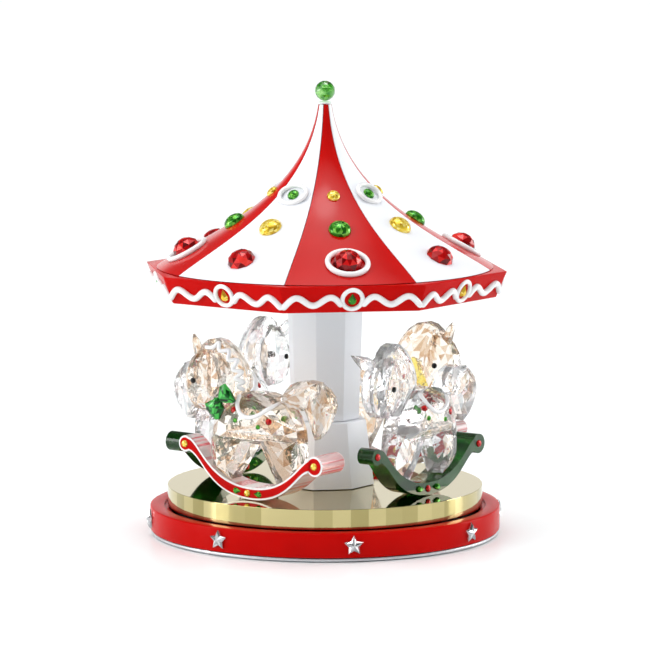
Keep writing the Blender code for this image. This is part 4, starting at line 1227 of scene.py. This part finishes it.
def make_camera():
    across = Vector((-math.sin(CAMERA_AZIMUTH), math.cos(CAMERA_AZIMUTH), 0))
    flat = CAMERA_DISTANCE * math.cos(CAMERA_ELEVATION)
    place = CAMERA_TARGET - across * flat + Vector((0, 0, CAMERA_DISTANCE * math.sin(CAMERA_ELEVATION)))
    data = bpy.data.cameras.new("camera")
    data.lens = CAMERA_LENS
    data.sensor_width = 36
    data.clip_end = 50
    camera = bpy.data.objects.new("camera", data)
    camera.location = place
    camera.rotation_euler = (CAMERA_TARGET - place).to_track_quat("-Z", "Y").to_euler()
    bpy.context.scene.collection.objects.link(camera)
    bpy.context.scene.camera = camera


def make_floor():
    bm = bmesh.new()
    bmesh.ops.create_grid(bm, x_segments=8, y_segments=8, size=6000)
    mesh = finished_mesh("floor", bm)
    finish = Finish("pale floor", (0.90, 0.935, 0.94), 0.35)
    finish.drive("Roughness", finish.spread(finish.noise(0.05), 0.3, 0.42))
    finish.bump(finish.noise(0.002), 0.00001, 0.3)
    mesh.materials.append(finish.material)
    floor = bpy.data.objects.new("floor", mesh)
    bpy.context.scene.collection.objects.link(floor)


def area_light(name, place, aim, size, power):
    """A white panel of this width and height in metres, and power in watts."""
    data = bpy.data.lights.new(name, "AREA")
    data.shape = "RECTANGLE"
    data.size, data.size_y = size
    data.energy = power
    light = bpy.data.objects.new(name, data)
    light.location = place
    light.rotation_euler = (Vector(aim) - Vector(place)).to_track_quat("-Z", "Y").to_euler()
    bpy.context.scene.collection.objects.link(light)


def make_world():
    """A studio with bright sides, a ceiling panel and darkness between them. Its front is dimmer."""
    world = bpy.data.worlds.new("studio")
    bpy.context.scene.world = world
    world.use_nodes = True
    nodes = world.node_tree.nodes
    links = world.node_tree.links
    coordinates = nodes.new("ShaderNodeTexCoord")
    split = nodes.new("ShaderNodeSeparateXYZ")
    links.new(coordinates.outputs["Generated"], split.inputs["Vector"])
    frontness = nodes.new("ShaderNodeMath")
    frontness.operation = "MULTIPLY"
    frontness.inputs[1].default_value = -1
    links.new(split.outputs["Y"], frontness.inputs[0])

    def bands(stops, along=None):
        """Grey levels up the sky, or along another share: each stop is (position, level)."""
        greys = [(position, [level / PANEL_LEVEL] * 3) for position, level in stops]
        return colour_ramp(world.node_tree, along or split.outputs["Z"], greys)

    def mixed(factor, first, second, blend="MIX"):
        node = nodes.new("ShaderNodeMix")
        node.data_type = "RGBA"
        node.blend_type = blend
        colours = [socket for socket in node.inputs if socket.type == "RGBA"]
        if factor is None:
            node.inputs["Factor"].default_value = 1
        else:
            links.new(factor, node.inputs["Factor"])
        links.new(first, colours[0])
        links.new(second, colours[1])
        return [socket for socket in node.outputs if socket.type == "RGBA"][0]

    path = nodes.new("ShaderNodeLightPath")
    dark = 0.12
    full = PANEL_LEVEL
    sky = ((0.0, 1.0), (0.20, 1.0), (0.32, dark), (0.82, dark), (0.93, 2.0), (0.975, 3.0), (0.992, full))
    gloss = bands(sky)
    gloss = mixed(None, gloss, bands(((0.45, full), (0.9, 0.5 * full)), frontness.outputs[0]), "MULTIPLY")
    glass = bands(((0.0, 1.15), (0.35, 1.15), (0.5, 0.9), (0.75, 0.95), (0.86, 1.6)))
    soft = bands(((0.0, 1.5), (0.4, 1.1), (1.0, 1.3)))
    soft = mixed(None, soft, bands(((0.2, full), (0.95, 0.5 * full)), frontness.outputs[0]), "MULTIPLY")
    backdrop = bands(((0.0, 1.0), (1.0, 1.0)))
    seen = mixed(path.outputs["Is Transmission Ray"], gloss, glass)
    seen = mixed(path.outputs["Is Diffuse Ray"], seen, soft)
    seen = mixed(path.outputs["Is Camera Ray"], seen, backdrop)
    background = nodes["Background"]
    links.new(seen, background.inputs["Color"])
    background.inputs["Strength"].default_value = PANEL_LEVEL


def make_stage():
    make_floor()
    make_world()
    area_light("key", (-1.5, -0.6, 1.1), (0, 0, 0.1), (0.9, 0.9), 6)
    area_light("left_fill", (-1.7, 0.0, 0.42), (0, 0, 0.09), (0.5, 0.7), 7)
    area_light("right_fill", (1.7, 0.3, 0.42), (0, 0, 0.09), (0.5, 0.7), 8)
    bpy.context.scene.view_settings.view_transform = "Standard"


make_camera()
make_stage()
dress_nodes()
make_base()
make_turntable()
make_column()
make_roof()
make_horses()
